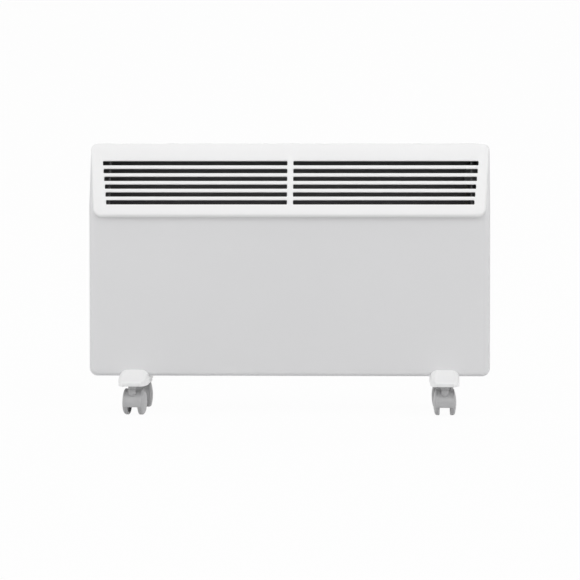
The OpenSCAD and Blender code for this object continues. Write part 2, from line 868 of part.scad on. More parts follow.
// Switch frame in the recess floor, with a pocket and two pivot holes
module switch_body(z) color(dark_grey) difference() {
  union() {
    box(
      floor_x - switch_depth, floor_x + switch_lip_t,
      control_y - rocker_w / 2 - switch_wall, control_y + rocker_w / 2 + switch_wall,
      z - rocker_l / 2 - switch_wall, z + rocker_l / 2 + switch_wall
    );
    box(
      floor_x, floor_x + switch_lip_t,
      control_y - rocker_w / 2 - switch_wall - switch_lip, control_y + rocker_w / 2 + switch_wall + switch_lip,
      z - rocker_l / 2 - switch_wall - switch_lip, z + rocker_l / 2 + switch_wall + switch_lip
    );
  }
  box(
    floor_x - switch_depth / 2, floor_x + switch_lip_t + over,
    control_y - rocker_w / 2 - move_gap, control_y + rocker_w / 2 + move_gap,
    z - rocker_l / 2 - move_gap * 2, z + rocker_l / 2 + move_gap * 2
  );
  rod_y(
    pivot_x, control_y - rocker_w / 2 - pivot_out - seat_gap,
    control_y + rocker_w / 2 + pivot_out + seat_gap, z, pivot_r + fit_gap
  );
}

module switch_body_upper() switch_body(rocker_upper_z);
module switch_body_lower() switch_body(rocker_lower_z);

// Rocker with a shallow valley on top, tilted about its pivot to its off side
module rocker(z) color(dark_grey) translate([pivot_x, 0, z]) rotate([0, rocker_swing, 0]) {
  along_y(control_y - rocker_w / 2, control_y + rocker_w / 2) polygon([
    [-rocker_depth, -rocker_l / 4],
    [-rocker_depth / 3, -rocker_l / 2],
    [rocker_t, -rocker_l / 2],
    [rocker_t - rocker_dip, 0],
    [rocker_t, rocker_l / 2],
    [-rocker_depth / 3, rocker_l / 2],
    [-rocker_depth, rocker_l / 4]
  ]);
  rod_y(0, control_y - rocker_w / 2 - pivot_out, control_y + rocker_w / 2 + pivot_out, 0, pivot_r);
}

module rocker_upper() rocker(rocker_upper_z);
module rocker_lower() rocker(rocker_lower_z);

wire_r = 1.8;
loom_rise = 10;
loom_stand = 6.2;
loom_z = body_z + loom_rise;
loom_y = inner_back - loom_stand;

// A run of insulated wires: round legs between points, with a ball at each bend
module loom(points) {
  for (k = [0 : len(points) - 2]) {
    a = points[k];
    b = points[k + 1];
    if (a[0] != b[0]) rod_x(min(a[0], b[0]), max(a[0], b[0]), a[1], a[2], wire_r);
    if (a[1] != b[1]) rod_y(a[0], min(a[1], b[1]), max(a[1], b[1]), a[2], wire_r);
    if (a[2] != b[2]) rod_z(a[0], a[1], min(a[2], b[2]), max(a[2], b[2]), wire_r);
    if (k > 0) translate(a) sphere(wire_r);
  }
}

tab_left_x = element_x0 - rod_over - tab_l;
tab_right_x = element_x1 + rod_over + tab_l;
thermostat_z0 = knob_z - thermostat_w / 2;
thermostat_x0 = floor_x - tray_wall - thermostat_depth;

module wiring_harness() color(wire_white) {
  loom([
    [tab_left_x, element_y, element_z],
    [tab_left_x - 2 * wire_r, element_y, element_z],
    [tab_left_x - 2 * wire_r, loom_y, element_z],
    [tab_left_x - 2 * wire_r, loom_y, loom_z],
    [block_x - block_w / 2 + wire_r, loom_y, loom_z],
    [block_x - block_w / 2 + wire_r, loom_y, block_z]
  ]);
  loom([
    [tab_right_x, element_y, element_z],
    [thermostat_x0 + wire_r, element_y, element_z],
    [thermostat_x0 + wire_r, element_y, thermostat_z0]
  ]);
  loom([
    [block_x, control_y + thermostat_w / 2 - wire_r, block_z + block_h],
    [block_x, control_y + thermostat_w / 2 - wire_r, thermostat_z0]
  ]);
}

horn_reach = foot_l / 2;
boss_r = 8;
sleeve_r = 5.6;
sleeve_l = 8.6;
sleeve_z = foot_z + foot_wall / 2;

// A foot's tip from above: each corner is a quarter of a long ellipse
function tip_outline(w, inset, y_tip) = [
  for (side = [1, -1]) for (k = [0 : arc_steps])
    let (a = side > 0 ? 90 * k / arc_steps : 90 - 90 * k / arc_steps) [
      side * (w / 2 - foot_tip_r + (foot_tip_r - inset) * cos(a)),
      y_tip - foot_tip_l + (foot_tip_l - inset) * sin(a)
    ]
];

// One end of a foot's outside, w wide: a low tip, rising to a crowned arch at y_arch
module horn(w, inset, y_tip, y_arch, s) {
  hull() {
    translate([0, 0, foot_z]) mirror([0, s < 0 ? 1 : 0, 0])
      linear_extrude(foot_tip_h - inset) polygon(tip_outline(w, inset, y_tip));
    for (x = [-1, 1])
      translate([x * (w / 2 - foot_shoulder), s * y_arch, foot_z + foot_arch_h - foot_shoulder])
        rotate([s * 90, 0, 0]) cylinder(h = least_r, r = foot_shoulder - inset, $fn = disc_fn);
    translate([-w / 2 + inset, s > 0 ? y_arch - least_r : -y_arch, foot_z])
      cube([w - 2 * inset, least_r, foot_bar_h / 2]);
  }
}

module foot_horns(inset) {
  horn(foot_w, inset, horn_reach, inset - front_y, -1);
  horn(foot_rear_w, inset, horn_reach, inset + back_y, 1);
}

// The bar under the casing from above: it narrows behind the casing's middle
module foot_plan(inset) {
  polygon([
    [inset - foot_w / 2, front_y],
    [foot_w / 2 - inset, front_y],
    [foot_w / 2 - inset, body_shift],
    [foot_rear_w / 2 - inset, back_y],
    [inset - foot_rear_w / 2, back_y],
    [inset - foot_w / 2, body_shift]
  ]);
}

// Foot moulding: a bar under the casing, a horn at each end, hollow from below
module foot(x0) color(grille_white) translate([x0, 0, 0]) difference() {
  union() {
    difference() {
      union() {
        foot_horns(0);
        along_z(foot_z, foot_z + foot_bar_h) foot_plan(0);
      }
      foot_horns(foot_wall);
      along_z(foot_z - over, foot_z + foot_bar_h - foot_wall - seat_gap) foot_plan(foot_wall);
    }
    intersection() {
      for (s = [-1, 1]) rod_z(0, s * stem_span / 2, foot_z, foot_z + foot_arch_h, boss_r);
      foot_horns(0);
    }
  }
  translate([-x0, 0, 0]) casing_form(-seat_gap);
  for (s = [-1, 1]) rod_z(0, s * stem_span / 2, foot_z - over, sleeve_z + sleeve_l, sleeve_r + fit_gap);
  for (y = [foot_screw_front_y, foot_screw_back_y])
    rod_z(0, y, foot_z, body_z, foot_screw_hole_r);
}

module left_foot() foot(-foot_x);
module right_foot() foot(foot_x);

module foot_screws() color(steel_grey) foot_screw_places() {
  head_z = -seat_gap - foot_wall - seat_gap;
  translate([0, 0, head_z - foot_screw_head_h])
    cylinder(h = foot_screw_head_h, r = foot_screw_head_r);
  translate([0, 0, head_z - foot_screw_head_h / 2])
    cylinder(h = foot_screw_l, r = foot_screw_r);
}

module casing_screws() color(steel_grey) case_screw_places() {
  translate([0, 0, -case_screw_head_h]) cylinder(h = case_screw_head_h, r = case_screw_head_r);
  translate([0, 0, -case_screw_head_h / 2]) cylinder(h = case_screw_l, r = case_screw_r);
}

// Sleeve pressed into a foot's boss, in which a castor stem turns
module stem_sleeves() color(steel_grey)
  for (x = [-foot_x, foot_x]) for (s = [-1, 1]) difference() {
    rod_z(x, s * stem_span / 2, sleeve_z, sleeve_z + sleeve_l, sleeve_r);
    rod_z(x, s * stem_span / 2, sleeve_z - over, sleeve_z + sleeve_l + over, stem_r + fit_gap);
  }

socket_r = 5.6;
socket_low = wheel_r + hood_r / 2;
socket_top = wheel_r + hood_r;
web_w = wheel_gap - 2 * move_gap;
socket_rise = 11;
socket_floor = wheel_r + socket_rise;
stem_collar_r = 5.4;
stem_collar_gap = 0.3;

// Places a castor: x and s give its stem, s = -1 at the front; drawn with its wheels toward +Y
module castor_place(x, s) {
  turn = s > 0 ? 180 : x < 0 ? castor_turn : 0;
  translate([x, s * stem_span / 2, 0]) rotate([0, 0, turn]) children();
}

// Outline of the hood's ring, in Y and Z about the wheel axis
module hood_ring(r_in, r_out) {
  difference() {
    circle(r_out);
    circle(r_in);
    translate([-hood_r - over, -hood_r - over])
      square([2 * (hood_r + over), hood_r + over + hood_edge_h - wheel_r]);
  }
}

// Half section of the stem socket: a round pillar with a ball end below
module socket_profile() {
  translate([0, socket_low + socket_r]) square([socket_r, socket_top - socket_low - socket_r]);
  intersection() {
    translate([0, socket_low + socket_r]) circle(socket_r);
    translate([0, socket_low]) square([socket_r, socket_r]);
  }
}

// Hood: an arched cover over both wheels, a web between them and a round socket for the stem
module castor_hood(x, s) color(castor_grey) castor_place(x, s) difference() {
  union() {
    along_x(-hood_w / 2, hood_w / 2) translate([trail, wheel_r]) hood_ring(hood_r - hood_wall, hood_r);
    along_x(-web_w / 2, web_w / 2) translate([trail, wheel_r]) hood_ring(0, hood_r);
    rotate_extrude() socket_profile();
  }
  rod_z(0, 0, socket_floor, socket_top + over, stem_r + fit_gap);
  rod_x(-hood_w, hood_w, trail, wheel_r, axle_r + fit_gap);
}

// Stem: a pin up into the foot's sleeve, with a collar under the foot
module castor_stem(x, s) color(steel_grey) castor_place(x, s) {
  rod_z(0, 0, socket_floor + seat_gap, sleeve_z + sleeve_l - seat_gap, stem_r);
  rod_z(0, 0, socket_top + seat_gap, foot_z - stem_collar_gap, stem_collar_r);
}

axle_cover = 3;
axle_half = wheel_gap / 2 + wheel_w - axle_cover;

module castor_axle(x, s) color(steel_grey) castor_place(x, s)
  rod_x(-axle_half, axle_half, trail, wheel_r, axle_r);

wheel_dome = 2.2;
wheel_crown_share = 0.6;
wheel_chamfer = 1.2;
hub_r = 6;
dish_depth = 3;
rim_t = 3.2;

// Wheel: domed outside, a dished inside with a hub, and a blind bore for the axle
module castor_wheel(x, s, side) color(tread_grey)
  castor_place(x, s) translate([side * wheel_gap / 2, trail, wheel_r]) rotate([0, side * 90, 0])
    rotate_extrude() difference() {
      polygon([
        [0, 0],
        [wheel_r - wheel_chamfer / 2, 0],
        [wheel_r, wheel_chamfer / 2],
        [wheel_r, wheel_w - wheel_dome - wheel_chamfer],
        [wheel_r - wheel_chamfer, wheel_w - wheel_dome],
        [wheel_r * wheel_crown_share, wheel_w - wheel_dome / 4],
        [0, wheel_w]
      ]);
      translate([hub_r, -over]) square([wheel_r - rim_t - hub_r, over + dish_depth]);
      translate([0, -over]) square([axle_r + fit_gap, over + axle_half - wheel_gap / 2 + seat_gap]);
    }

front_panel();
outlet_grille();
rear_casing();
intake_grille();
heat_shield();
outlet_baffle();
heating_element();
element_rod();
element_bracket_left();
element_bracket_right();
element_insulators();
element_terminals();
thermal_cutout();
tilt_switch();
terminal_block();
wiring_harness();
cable_gland();
control_panel();
thermostat_body();
thermostat_knob();
thermostat_shaft();
switch_body_upper();
switch_body_lower();
rocker_upper();
rocker_lower();
left_foot();
right_foot();
foot_screws();
casing_screws();
stem_sleeves();
castor_hood(-foot_x, -1);  // hood_front_left
castor_stem(-foot_x, -1);  // stem_front_left
castor_axle(-foot_x, -1);  // axle_front_left
castor_wheel(-foot_x, -1, -1);  // wheel_front_left_a
castor_wheel(-foot_x, -1, 1);  // wheel_front_left_b
castor_hood(foot_x, -1);  // hood_front_right
castor_stem(foot_x, -1);  // stem_front_right
castor_axle(foot_x, -1);  // axle_front_right
castor_wheel(foot_x, -1, -1);  // wheel_front_right_a
castor_wheel(foot_x, -1, 1);  // wheel_front_right_b
castor_hood(-foot_x, 1);  // hood_rear_left
castor_stem(-foot_x, 1);  // stem_rear_left
castor_axle(-foot_x, 1);  // axle_rear_left
castor_wheel(-foot_x, 1, -1);  // wheel_rear_left_a
castor_wheel(-foot_x, 1, 1);  // wheel_rear_left_b
castor_hood(foot_x, 1);  // hood_rear_right
castor_stem(foot_x, 1);  // stem_rear_right
castor_axle(foot_x, 1);  // axle_rear_right
castor_wheel(foot_x, 1, -1);  // wheel_rear_right_a
castor_wheel(foot_x, 1, 1);  // wheel_rear_right_b
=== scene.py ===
import json
import math

import bmesh
import bpy
import numpy as np
from bpy.props import FloatProperty, FloatVectorProperty, PointerProperty
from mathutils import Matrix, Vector


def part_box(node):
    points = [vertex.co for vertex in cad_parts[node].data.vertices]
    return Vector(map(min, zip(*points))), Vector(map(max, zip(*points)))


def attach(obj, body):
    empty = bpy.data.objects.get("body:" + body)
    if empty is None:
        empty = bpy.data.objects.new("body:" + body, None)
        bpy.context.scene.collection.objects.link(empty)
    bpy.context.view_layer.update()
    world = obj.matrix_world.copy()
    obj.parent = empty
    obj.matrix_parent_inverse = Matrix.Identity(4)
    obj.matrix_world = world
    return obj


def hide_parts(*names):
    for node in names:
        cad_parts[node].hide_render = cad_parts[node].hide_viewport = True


bl_info = {
    "name": "Panel convector heater",
    "version": (1, 0, 0),
    "blender": (4, 5, 0),
    "location": "3D View > Sidebar > Heater",
    "description": "Builds a white panel convector heater on castor feet around its CAD frame",
    "category": "Add Mesh",
}

MM = 0.001
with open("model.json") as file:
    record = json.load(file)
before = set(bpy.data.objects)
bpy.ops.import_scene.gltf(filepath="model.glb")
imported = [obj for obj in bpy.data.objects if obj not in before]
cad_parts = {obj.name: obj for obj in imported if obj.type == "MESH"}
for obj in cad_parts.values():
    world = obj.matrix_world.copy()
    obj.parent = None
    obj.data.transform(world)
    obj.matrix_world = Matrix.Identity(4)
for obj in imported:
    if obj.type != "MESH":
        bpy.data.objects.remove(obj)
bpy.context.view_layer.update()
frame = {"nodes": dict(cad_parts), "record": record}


def hex_linear(code):
    """Turns an sRGB hex colour into linear red, green and blue."""
    part = [int(code[i : i + 2], 16) / 255 for i in (1, 3, 5)]
    return tuple(c / 12.92 if c <= 0.04045 else ((c + 0.055) / 1.055) ** 2.4 for c in part)


def length(name, text, value):
    """A length that the user may change; the value is in metres."""
    return FloatProperty(name=name, description=text, default=value, unit="LENGTH", precision=5)


def colour(name, text, code):
    """A colour that the user may change, from its sRGB hex value."""
    return FloatVectorProperty(
        name=name, description=text, default=hex_linear(code), size=3, subtype="COLOR"
    )


class HeaterSizes(bpy.types.PropertyGroup):
    side_round: length("Side rounding", "Radius of the casing's upright edges", 9.5 * MM)
    low_round: length("Low rounding", "Radius of the casing's lower front edge", 6 * MM)
    top_round: length("Top rounding", "Radius of the casing's upper front edge", 3 * MM)
    low_corner: length("Low corners", "Radius of the casing's lower corners", 12 * MM)
    top_corner: length("Top corners", "Radius of the casing's upper corners", 10.5 * MM)
    lean: FloatProperty(
        name="Slope",
        description="Lean of the upper front from upright",
        default=math.radians(16),
        subtype="ANGLE",
    )
    bend_height: length("Bend height", "Height of the upright front below the slope", 254 * MM)
    hood_proud: length("Hood height", "How far the outlet hood stands out from the slope", 5 * MM)
    hood_round: length("Hood rounding", "Rounding of the outlet hood's front edge", 3.6 * MM)
    slot_round: length("Slot rounding", "Rounding of the slots' front edges", 0.5 * MM)
    hood_wall: length("Hood wall", "Wall of the outlet hood", 2.2 * MM)
    hood_bead: length("Castor bead", "Height of the bead along a castor hood's sides", 0.35 * MM)


class HeaterColours(bpy.types.PropertyGroup):
    enamel: colour("Casing enamel", "Powder-coated steel casing", "#E3E3E4")
    moulding: colour("White mouldings", "Outlet hood, feet and control recess", "#F7F7F7")
    castor: colour("Castor nylon", "Hoods and wheels of the castors", "#B9B9BA")
    # Partly painted shade: the sheets and ribs seen through the outlet slots take this black for
    # the shade inside the casing; the control mouldings are black in fact.
    black: colour("Heat-proof black", "Sheets and mouldings inside the casing", "#4A4A4B")


def sizes():
    return bpy.context.scene.heater_sizes


def colours():
    return bpy.context.scene.heater_colours


def box_middle(name):
    """Middle of a CAD node's box."""
    return np.mean(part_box(name), 0)


def smooth_step(t):
    """Eases t from 0 to 1: t^2 (3 - 2 t)."""
    return t * t * (3 - 2 * t)


def points_of(x, y, z):
    """Points from three coordinates, each spread over the grid that they span together."""
    return np.stack(np.broadcast_arrays(x, y, z), -1)


def rectangle(u0, v0, u1, v1):
    """Corners of a rectangle, anticlockwise."""
    return [(u0, v0), (u1, v0), (u1, v1), (u0, v1)]


def rounded_outline(corners, radii, inset, runs, arc):
    """Outline of a convex shape, anticlockwise, drawn in by inset, which is an array of rows x
    points or one number a row.

    A corner's point is C + (R - inset) n, with n turning from one side's normal to the next, R the
    larger of the corner's radius and the inset, and C the corner of the sides moved in by R. A
    point of a straight run lies between the ends of its two arcs at its share of the way."""
    corners, radii = np.asarray(corners, float), np.asarray(radii, float)
    edge = np.roll(corners, -1, 0) - corners
    normal = np.stack([edge[:, 1], -edge[:, 0]], 1) / np.linalg.norm(edge, axis=1)[:, None]
    before = np.roll(normal, 1, 0)
    # A step back along kink moves a corner in by one step from both of its sides.
    kink = (before + normal) / (1 + (before * normal).sum(1))[:, None]
    start = np.arctan2(before[:, 1], before[:, 0])
    turn = (np.arctan2(normal[:, 1], normal[:, 0]) - start) % (2 * np.pi)
    count = len(corners)
    # For each point: its corner, its share of that corner's arc, and of the run after it.
    steps = np.linspace(0, 1, arc + 1)
    first = np.concatenate([np.full(arc + 1 + len(runs[i]), i) for i in range(count)])
    share = np.concatenate([np.concatenate([steps, np.ones(len(runs[i]))]) for i in range(count)])
    along = np.concatenate(
        [np.concatenate([np.zeros(arc + 1), np.asarray(runs[i], float)]) for i in range(count)]
    )
    inset = np.asarray(inset, float)
    inset = inset.reshape(-1, 1) if inset.ndim < 2 else inset
    inset = np.broadcast_to(inset, (inset.shape[0], len(first)))

    def place(corner, t):
        angle = start[corner] + turn[corner] * t
        radius = np.maximum(radii[corner], inset)
        centre = corners[corner] - radius[..., None] * kink[corner]
        return centre + (radius - inset)[..., None] * np.stack([np.cos(angle), np.sin(angle)], -1)

    here, there = place(first, share), place((first + 1) % count, np.zeros(len(first)))
    return here + along[:, None] * (there - here)


def bar_section(width, depth, radius, arc):
    """Section of a bar about the origin: a rectangle with rounded corners."""
    corners = rectangle(-width / 2, -depth / 2, width / 2, depth / 2)
    return rounded_outline(corners, [radius] * 4, [0], [[]] * 4, arc)[0]


def quarter(radius, count):
    """A quarter round as (inset, drop): radius (1 - sin a) in from the edge and radius (1 - cos a)
    down from the face, for a from 0 at the face to 90 degrees at the side."""
    angle = np.linspace(0, np.pi / 2, count + 1)
    radius = np.asarray(radius, float)
    return (
        radius[..., None] * (1 - np.sin(angle)),
        radius[..., None] * (1 - np.cos(angle)),
    )


def grid_triangles(rows, columns, closed):
    """Two triangles for each cell of a grid of rows x columns points; closed joins the last column
    to the first."""
    r = np.arange(rows - 1)[:, None] * columns
    c = np.arange(columns if closed else columns - 1)[None, :]
    n = (c + 1) % columns
    a, b, d, e = r + c, r + n, r + columns + n, r + columns + c
    quad = np.stack([a, b, d, e], -1).reshape(-1, 4)
    return np.concatenate([quad[:, [0, 1, 2]], quad[:, [0, 2, 3]]])


def sheet_of(points, closed=True):
    """A grid of points, rows x columns x 3, as (vertices, triangles)."""
    points = np.asarray(points, float)
    rows, columns = points.shape[:2]
    return points.reshape(-1, 3), grid_triangles(rows, columns, closed)


def flip(part):
    """Turns a part's faces the other way."""
    return part[0], part[1][:, ::-1]


def join(parts):
    """Puts several (vertices, triangles) together."""
    shift = np.cumsum([0] + [len(v) for v, _ in parts[:-1]])
    return (
        np.concatenate([v for v, _ in parts]),
        np.concatenate([t + s for (_, t), s in zip(parts, shift)]),
    )


def lathe(profile, steps):
    """Turns a profile of (radius, height) pairs about the third axis: each point goes to
    (r cos a, r sin a, h) for a once round."""
    profile = np.asarray(profile, float)
    radius, height = profile[:, :1], profile[:, 1:]
    angle = np.linspace(0, 2 * np.pi, steps, endpoint=False)
    return sheet_of(points_of(radius * np.cos(angle), radius * np.sin(angle), height))


def capped(rows):
    """Closes a tube's two ends: the first and last rows are repeated at their own middles."""
    rows = np.asarray(rows, float)
    ends = [np.broadcast_to(r.mean(0), r.shape) for r in (rows[0], rows[-1])]
    return np.concatenate([ends[0][None], rows, ends[1][None]])


WELD = 0.004 * MM


def piece(name, part, body, slot_name, *replaced, sharp=40):
    """Makes one mesh object with the finish of its slot: welds the points that coincide, which
    drops the triangles that this closes, and keeps edges sharper than the given angle crisp."""
    vertices, triangles = part
    mesh = bpy.data.meshes.new(name)
    mesh.vertices.add(len(vertices))
    mesh.vertices.foreach_set("co", vertices.astype(np.float32).ravel())
    mesh.loops.add(triangles.size)
    mesh.loops.foreach_set("vertex_index", triangles.astype(np.int32).ravel())
    mesh.polygons.add(len(triangles))
    mesh.polygons.foreach_set("loop_start", np.arange(0, triangles.size, 3, dtype=np.int32))
    mesh.update(calc_edges=True)
    work = bmesh.new()
    work.from_mesh(mesh)
    bmesh.ops.remove_doubles(work, verts=work.verts, dist=WELD)
    work.to_mesh(mesh)
    work.free()
    mesh.validate()
    mesh.shade_smooth()
    mesh.set_sharp_from_angle(angle=math.radians(sharp))
    made = bpy.data.objects.new(name, mesh)
    bpy.context.scene.collection.objects.link(made)
    made.data.materials.append(finish_of(slot_name))
    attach(made, body)
    if replaced:
        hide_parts(*replaced)
    return made


def new_material(name):
    """An empty node material."""
    material = bpy.data.materials.new(name)
    material.use_nodes = True
    material.node_tree.nodes.clear()
    return material


def add_node(material, kind, links=None, **settings):
    """Adds one node. A setting names a property or an input; links gives an input its source
    socket."""
    node = material.node_tree.nodes.new(kind)
    for key, value in settings.items():
        if hasattr(node, key):
            setattr(node, key, value)
        else:
            node.inputs[key.replace("_", " ")].default_value = value
    for key, source in (links or {}).items():
        material.node_tree.links.new(source, node.inputs[key])
    return node


def shaded(
    name, base, roughness, rough_spread, grain_mm, bump_mm, tone_spread, tone_mm,
    metallic=0.0, detail=2.0, **more,
):
    """A finish whose colour drifts by tone_spread over tone_mm, whose roughness varies by
    rough_spread, and whose surface has a grain of grain_mm with bumps of bump_mm."""
    material = new_material(name)
    where = add_node(material, "ShaderNodeTexCoord").outputs["Object"]
    drift = add_node(
        material, "ShaderNodeTexNoise", {"Vector": where}, Scale=1000 / tone_mm, Detail=2.0
    )
    ramp = add_node(material, "ShaderNodeValToRGB", {"Fac": drift.outputs["Fac"]})
    for element, position, tone in zip(
        ramp.color_ramp.elements, (0.3, 0.7), (1 - tone_spread, 1 + tone_spread)
    ):
        element.position = position
        element.color = (*[min(1, c * tone) for c in base], 1)
    grain = add_node(
        material, "ShaderNodeTexNoise", {"Vector": where}, Scale=1000 / grain_mm, Detail=detail
    )
    rough = add_node(
        material,
        "ShaderNodeMapRange",
        {"Value": grain.outputs["Fac"]},
        To_Min=roughness - rough_spread,
        To_Max=roughness + rough_spread,
    )
    bump = add_node(
        material,
        "ShaderNodeBump",
        {"Height": grain.outputs["Fac"]},
        Strength=1.0,
        Distance=bump_mm * MM,
    )
    shader = add_node(
        material,
        "ShaderNodeBsdfPrincipled",
        {
            "Base Color": ramp.outputs["Color"],
            "Roughness": rough.outputs["Result"],
            "Normal": bump.outputs["Normal"],
        },
        Metallic=metallic,
        **more,
    )
    add_node(material, "ShaderNodeOutputMaterial", {"Surface": shader.outputs["BSDF"]})
    return material


def powder_coat():
    """Polyester powder coat on steel: a faint orange peel about 1.2 mm across and a satin gloss."""
    return shaded(
        "powder_coated_steel", colours().enamel, roughness=0.38, rough_spread=0.04,
        grain_mm=1.2, bump_mm=0.012, tone_spread=0.006, tone_mm=180.0, IOR=1.5,
    )


def white_abs():
    """Injection-moulded white ABS: an even satin skin with a very fine spark texture, drawn
    coarser than the real 0.1 mm so that it shows."""
    return shaded(
        "moulded_white_abs", colours().moulding, roughness=0.33, rough_spread=0.04,
        grain_mm=0.6, bump_mm=0.006, tone_spread=0.005, tone_mm=90.0, IOR=1.53,
    )


def grey_nylon():
    """Moulded grey nylon of the castors: low gloss, slightly cloudy."""
    return shaded(
        "moulded_grey_nylon", colours().castor, roughness=0.42, rough_spread=0.06,
        grain_mm=0.7, bump_mm=0.01, tone_spread=0.03, tone_mm=14.0, IOR=1.53,
    )


def black_and_painted_shade():
    """Matt black: the phenolic mouldings of the controls are black in fact; the thin sheets and the
    ribs behind the outlet slots are painted shade, drawn black for the dark inside of the casing.
    """
    return shaded(
        "matt_black_finish", colours().black, roughness=0.5, rough_spread=0.06,
        grain_mm=0.8, bump_mm=0.015, tone_spread=0.08, tone_mm=30.0, IOR=1.5,
    )


def extruded_aluminium():
    """Mill-finish aluminium extrusion: a bright, softly uneven metal with a fine grain."""
    return shaded(
        "extruded_aluminium", hex_linear("#B9BBBD"), roughness=0.42, rough_spread=0.08,
        grain_mm=0.9, bump_mm=0.01, tone_spread=0.05, tone_mm=20.0, metallic=1.0,
    )


def oxidised_steel():
    """Stainless sheath of the rod, browned by heat."""
    return shaded(
        "heat_browned_steel", hex_linear("#6E665E"), roughness=0.5, rough_spread=0.08,
        grain_mm=1.0, bump_mm=0.01, tone_spread=0.15, tone_mm=18.0, metallic=1.0,
    )


def zinc_plate():
    """Bright zinc plating on pressed steel: cloudy, fairly smooth."""
    return shaded(
        "zinc_plated_steel", hex_linear("#BFC1C4"), roughness=0.34, rough_spread=0.07,
        grain_mm=0.8, bump_mm=0.006, tone_spread=0.06, tone_mm=9.0, metallic=1.0,
    )


def stem_steel_painted_shade():
    """Steel stem pins, zinc-plated in fact, drawn nearly black as painted shade for the shadow
    under the feet; a dull sheen.
    """
    return shaded(
        "oil_blackened_steel", hex_linear("#343436"), roughness=0.45, rough_spread=0.06,
        grain_mm=0.8, bump_mm=0.005, tone_spread=0.1, tone_mm=8.0, metallic=0.6,
    )


def steatite():
    """Unglazed steatite ceramic: chalky and slightly warm."""
    return shaded(
        "unglazed_steatite", hex_linear("#E9E5DA"), roughness=0.62, rough_spread=0.06,
        grain_mm=0.5, bump_mm=0.02, tone_spread=0.03, tone_mm=6.0, IOR=1.55,
    )


def sleeve_painted_shade():
    """Woven glass-fibre sleeving, drawn dark as painted shade where it shows through the outlet
    slots: dull, with a grain of about 1 mm where the weave stands up."""
    return shaded(
        "woven_glass_sleeve", hex_linear("#4C4943"), roughness=0.75, rough_spread=0.06,
        grain_mm=1.0, bump_mm=0.12, tone_spread=0.06, tone_mm=3.0, detail=4.0, IOR=1.5,
    )


FINISHES = {
    "casing_enamel": powder_coat,
    "white_moulding": white_abs,
    "castor_moulding": grey_nylon,
    "castor_tread": grey_nylon,
    # Painted shade: the sheets behind the outlet slots are drawn black for the shade inside the
    # casing.
    "black_sheet": black_and_painted_shade,
    "black_moulding": black_and_painted_shade,
    "element_aluminium": extruded_aluminium,
    "rod_steel": oxidised_steel,
    "zinc_steel": zinc_plate,
    "black_steel": stem_steel_painted_shade,
    "ceramic_white": steatite,
    "wire_sleeve": sleeve_painted_shade,
}
made_finishes = {}


def finish_of(slot_name):
    """The finish of a slot, made once."""
    maker = FINISHES[slot_name]
    if maker not in made_finishes:
        made_finishes[maker] = maker()
    return made_finishes[maker]


SHEET = 0.8 * MM
BEND_SOFTNESS = 2 * MM
PLATE_INSET = 12.6 * MM
WINDOW_BELOW = 8.3 * MM
WINDOW_ABOVE = 71.1 * MM
WINDOW_SIDE = 13.1 * MM


def casing_front():
    """The front sheet. Its outline, seen from the front, is a rounded rectangle; from the flat face
    each point goes over a quarter round to the side and then straight back to the seam, and the
    round's radius eases from one side's to the next at each corner. Above the bend the face leans
    back: y = front + tan(lean) (h + sqrt(h^2 + c^2)) / 2, with h the height above the bend and c
    the softness of the bend. The outlet's window is left open."""
    size = sizes()
    low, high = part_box("front_panel")
    bend = low.z + size.bend_height

    def face(z):
        h = z - bend
        return low.y + math.tan(size.lean) * (h + np.sqrt(h * h + BEND_SOFTNESS**2)) / 2

    window_low, window_high = bend - WINDOW_BELOW, bend + WINDOW_ABOVE
    window_half = high.x - WINDOW_SIDE
    x1, z0, z1 = high.x - PLATE_INSET, low.z + PLATE_INSET, high.z - PLATE_INSET
    under_bend, over_bend = bend - 30 * MM, bend + 10 * MM
    heights = np.unique(
        np.concatenate(
            [np.linspace(z0, under_bend, 24), np.linspace(under_bend, over_bend, 33),
             [window_low, window_high], np.linspace(over_bend, z1, 12)]
        )
    )
    widths = np.unique(np.concatenate([np.linspace(-window_half, window_half, 41), [-x1, x1]]))
    rise = (heights - z0) / (z1 - z0)
    across = (widths + x1) / (2 * x1)
    runs = [share[1:-1] for share in (across, rise, 1 - across[::-1], 1 - rise[::-1])]
    arc = 12
    ease = smooth_step(np.linspace(0, 1, arc + 1))
    edge = [size.low_round, size.side_round, size.top_round, size.side_round]
    radius = []
    for i, run in enumerate(runs):
        radius += [edge[i - 1] + (edge[i] - edge[i - 1]) * ease, np.full(len(run), edge[i])]
    radius = np.concatenate(radius)
    inset, drop = quarter(radius, 12)
    flat, seam = np.full((1, len(radius)), PLATE_INSET), np.zeros((1, len(radius)))
    outline = rounded_outline(
        rectangle(low.x, low.z, high.x, high.z),
        [size.low_corner, size.low_corner, size.top_corner, size.top_corner],
        np.concatenate([flat, inset.T, seam]), runs, arc,
    )
    depth = face(outline[..., 1])
    depth[1:-1] += drop.T
    depth[-1] = high.y
    rim = points_of(outline[..., 0], depth, outline[..., 1])

    plate = points_of(widths, face(heights)[:, None], heights[:, None])
    vertices, triangles = sheet_of(plate, closed=False)
    middle = vertices[triangles].mean(1)
    open_window = (
        (np.abs(middle[:, 0]) < window_half)
        & (middle[:, 2] > window_low)
        & (middle[:, 2] < window_high)
    )
    made = piece(
        "casing_front_sheet",
        join([flip(sheet_of(rim)), (vertices, triangles[~open_window])]),
        "root", "casing_enamel", "front_panel", sharp=50,
    )
    sheet = made.modifiers.new("sheet_thickness", "SOLIDIFY")
    sheet.thickness, sheet.offset = SHEET, -1


class HEATER_OT_casing(bpy.types.Operator):
    """Builds the casing's front sheet"""

    bl_idname = "heater.casing"
    bl_label = "Casing"

    def execute(self, context):
        casing_front()
        return {"FINISHED"}


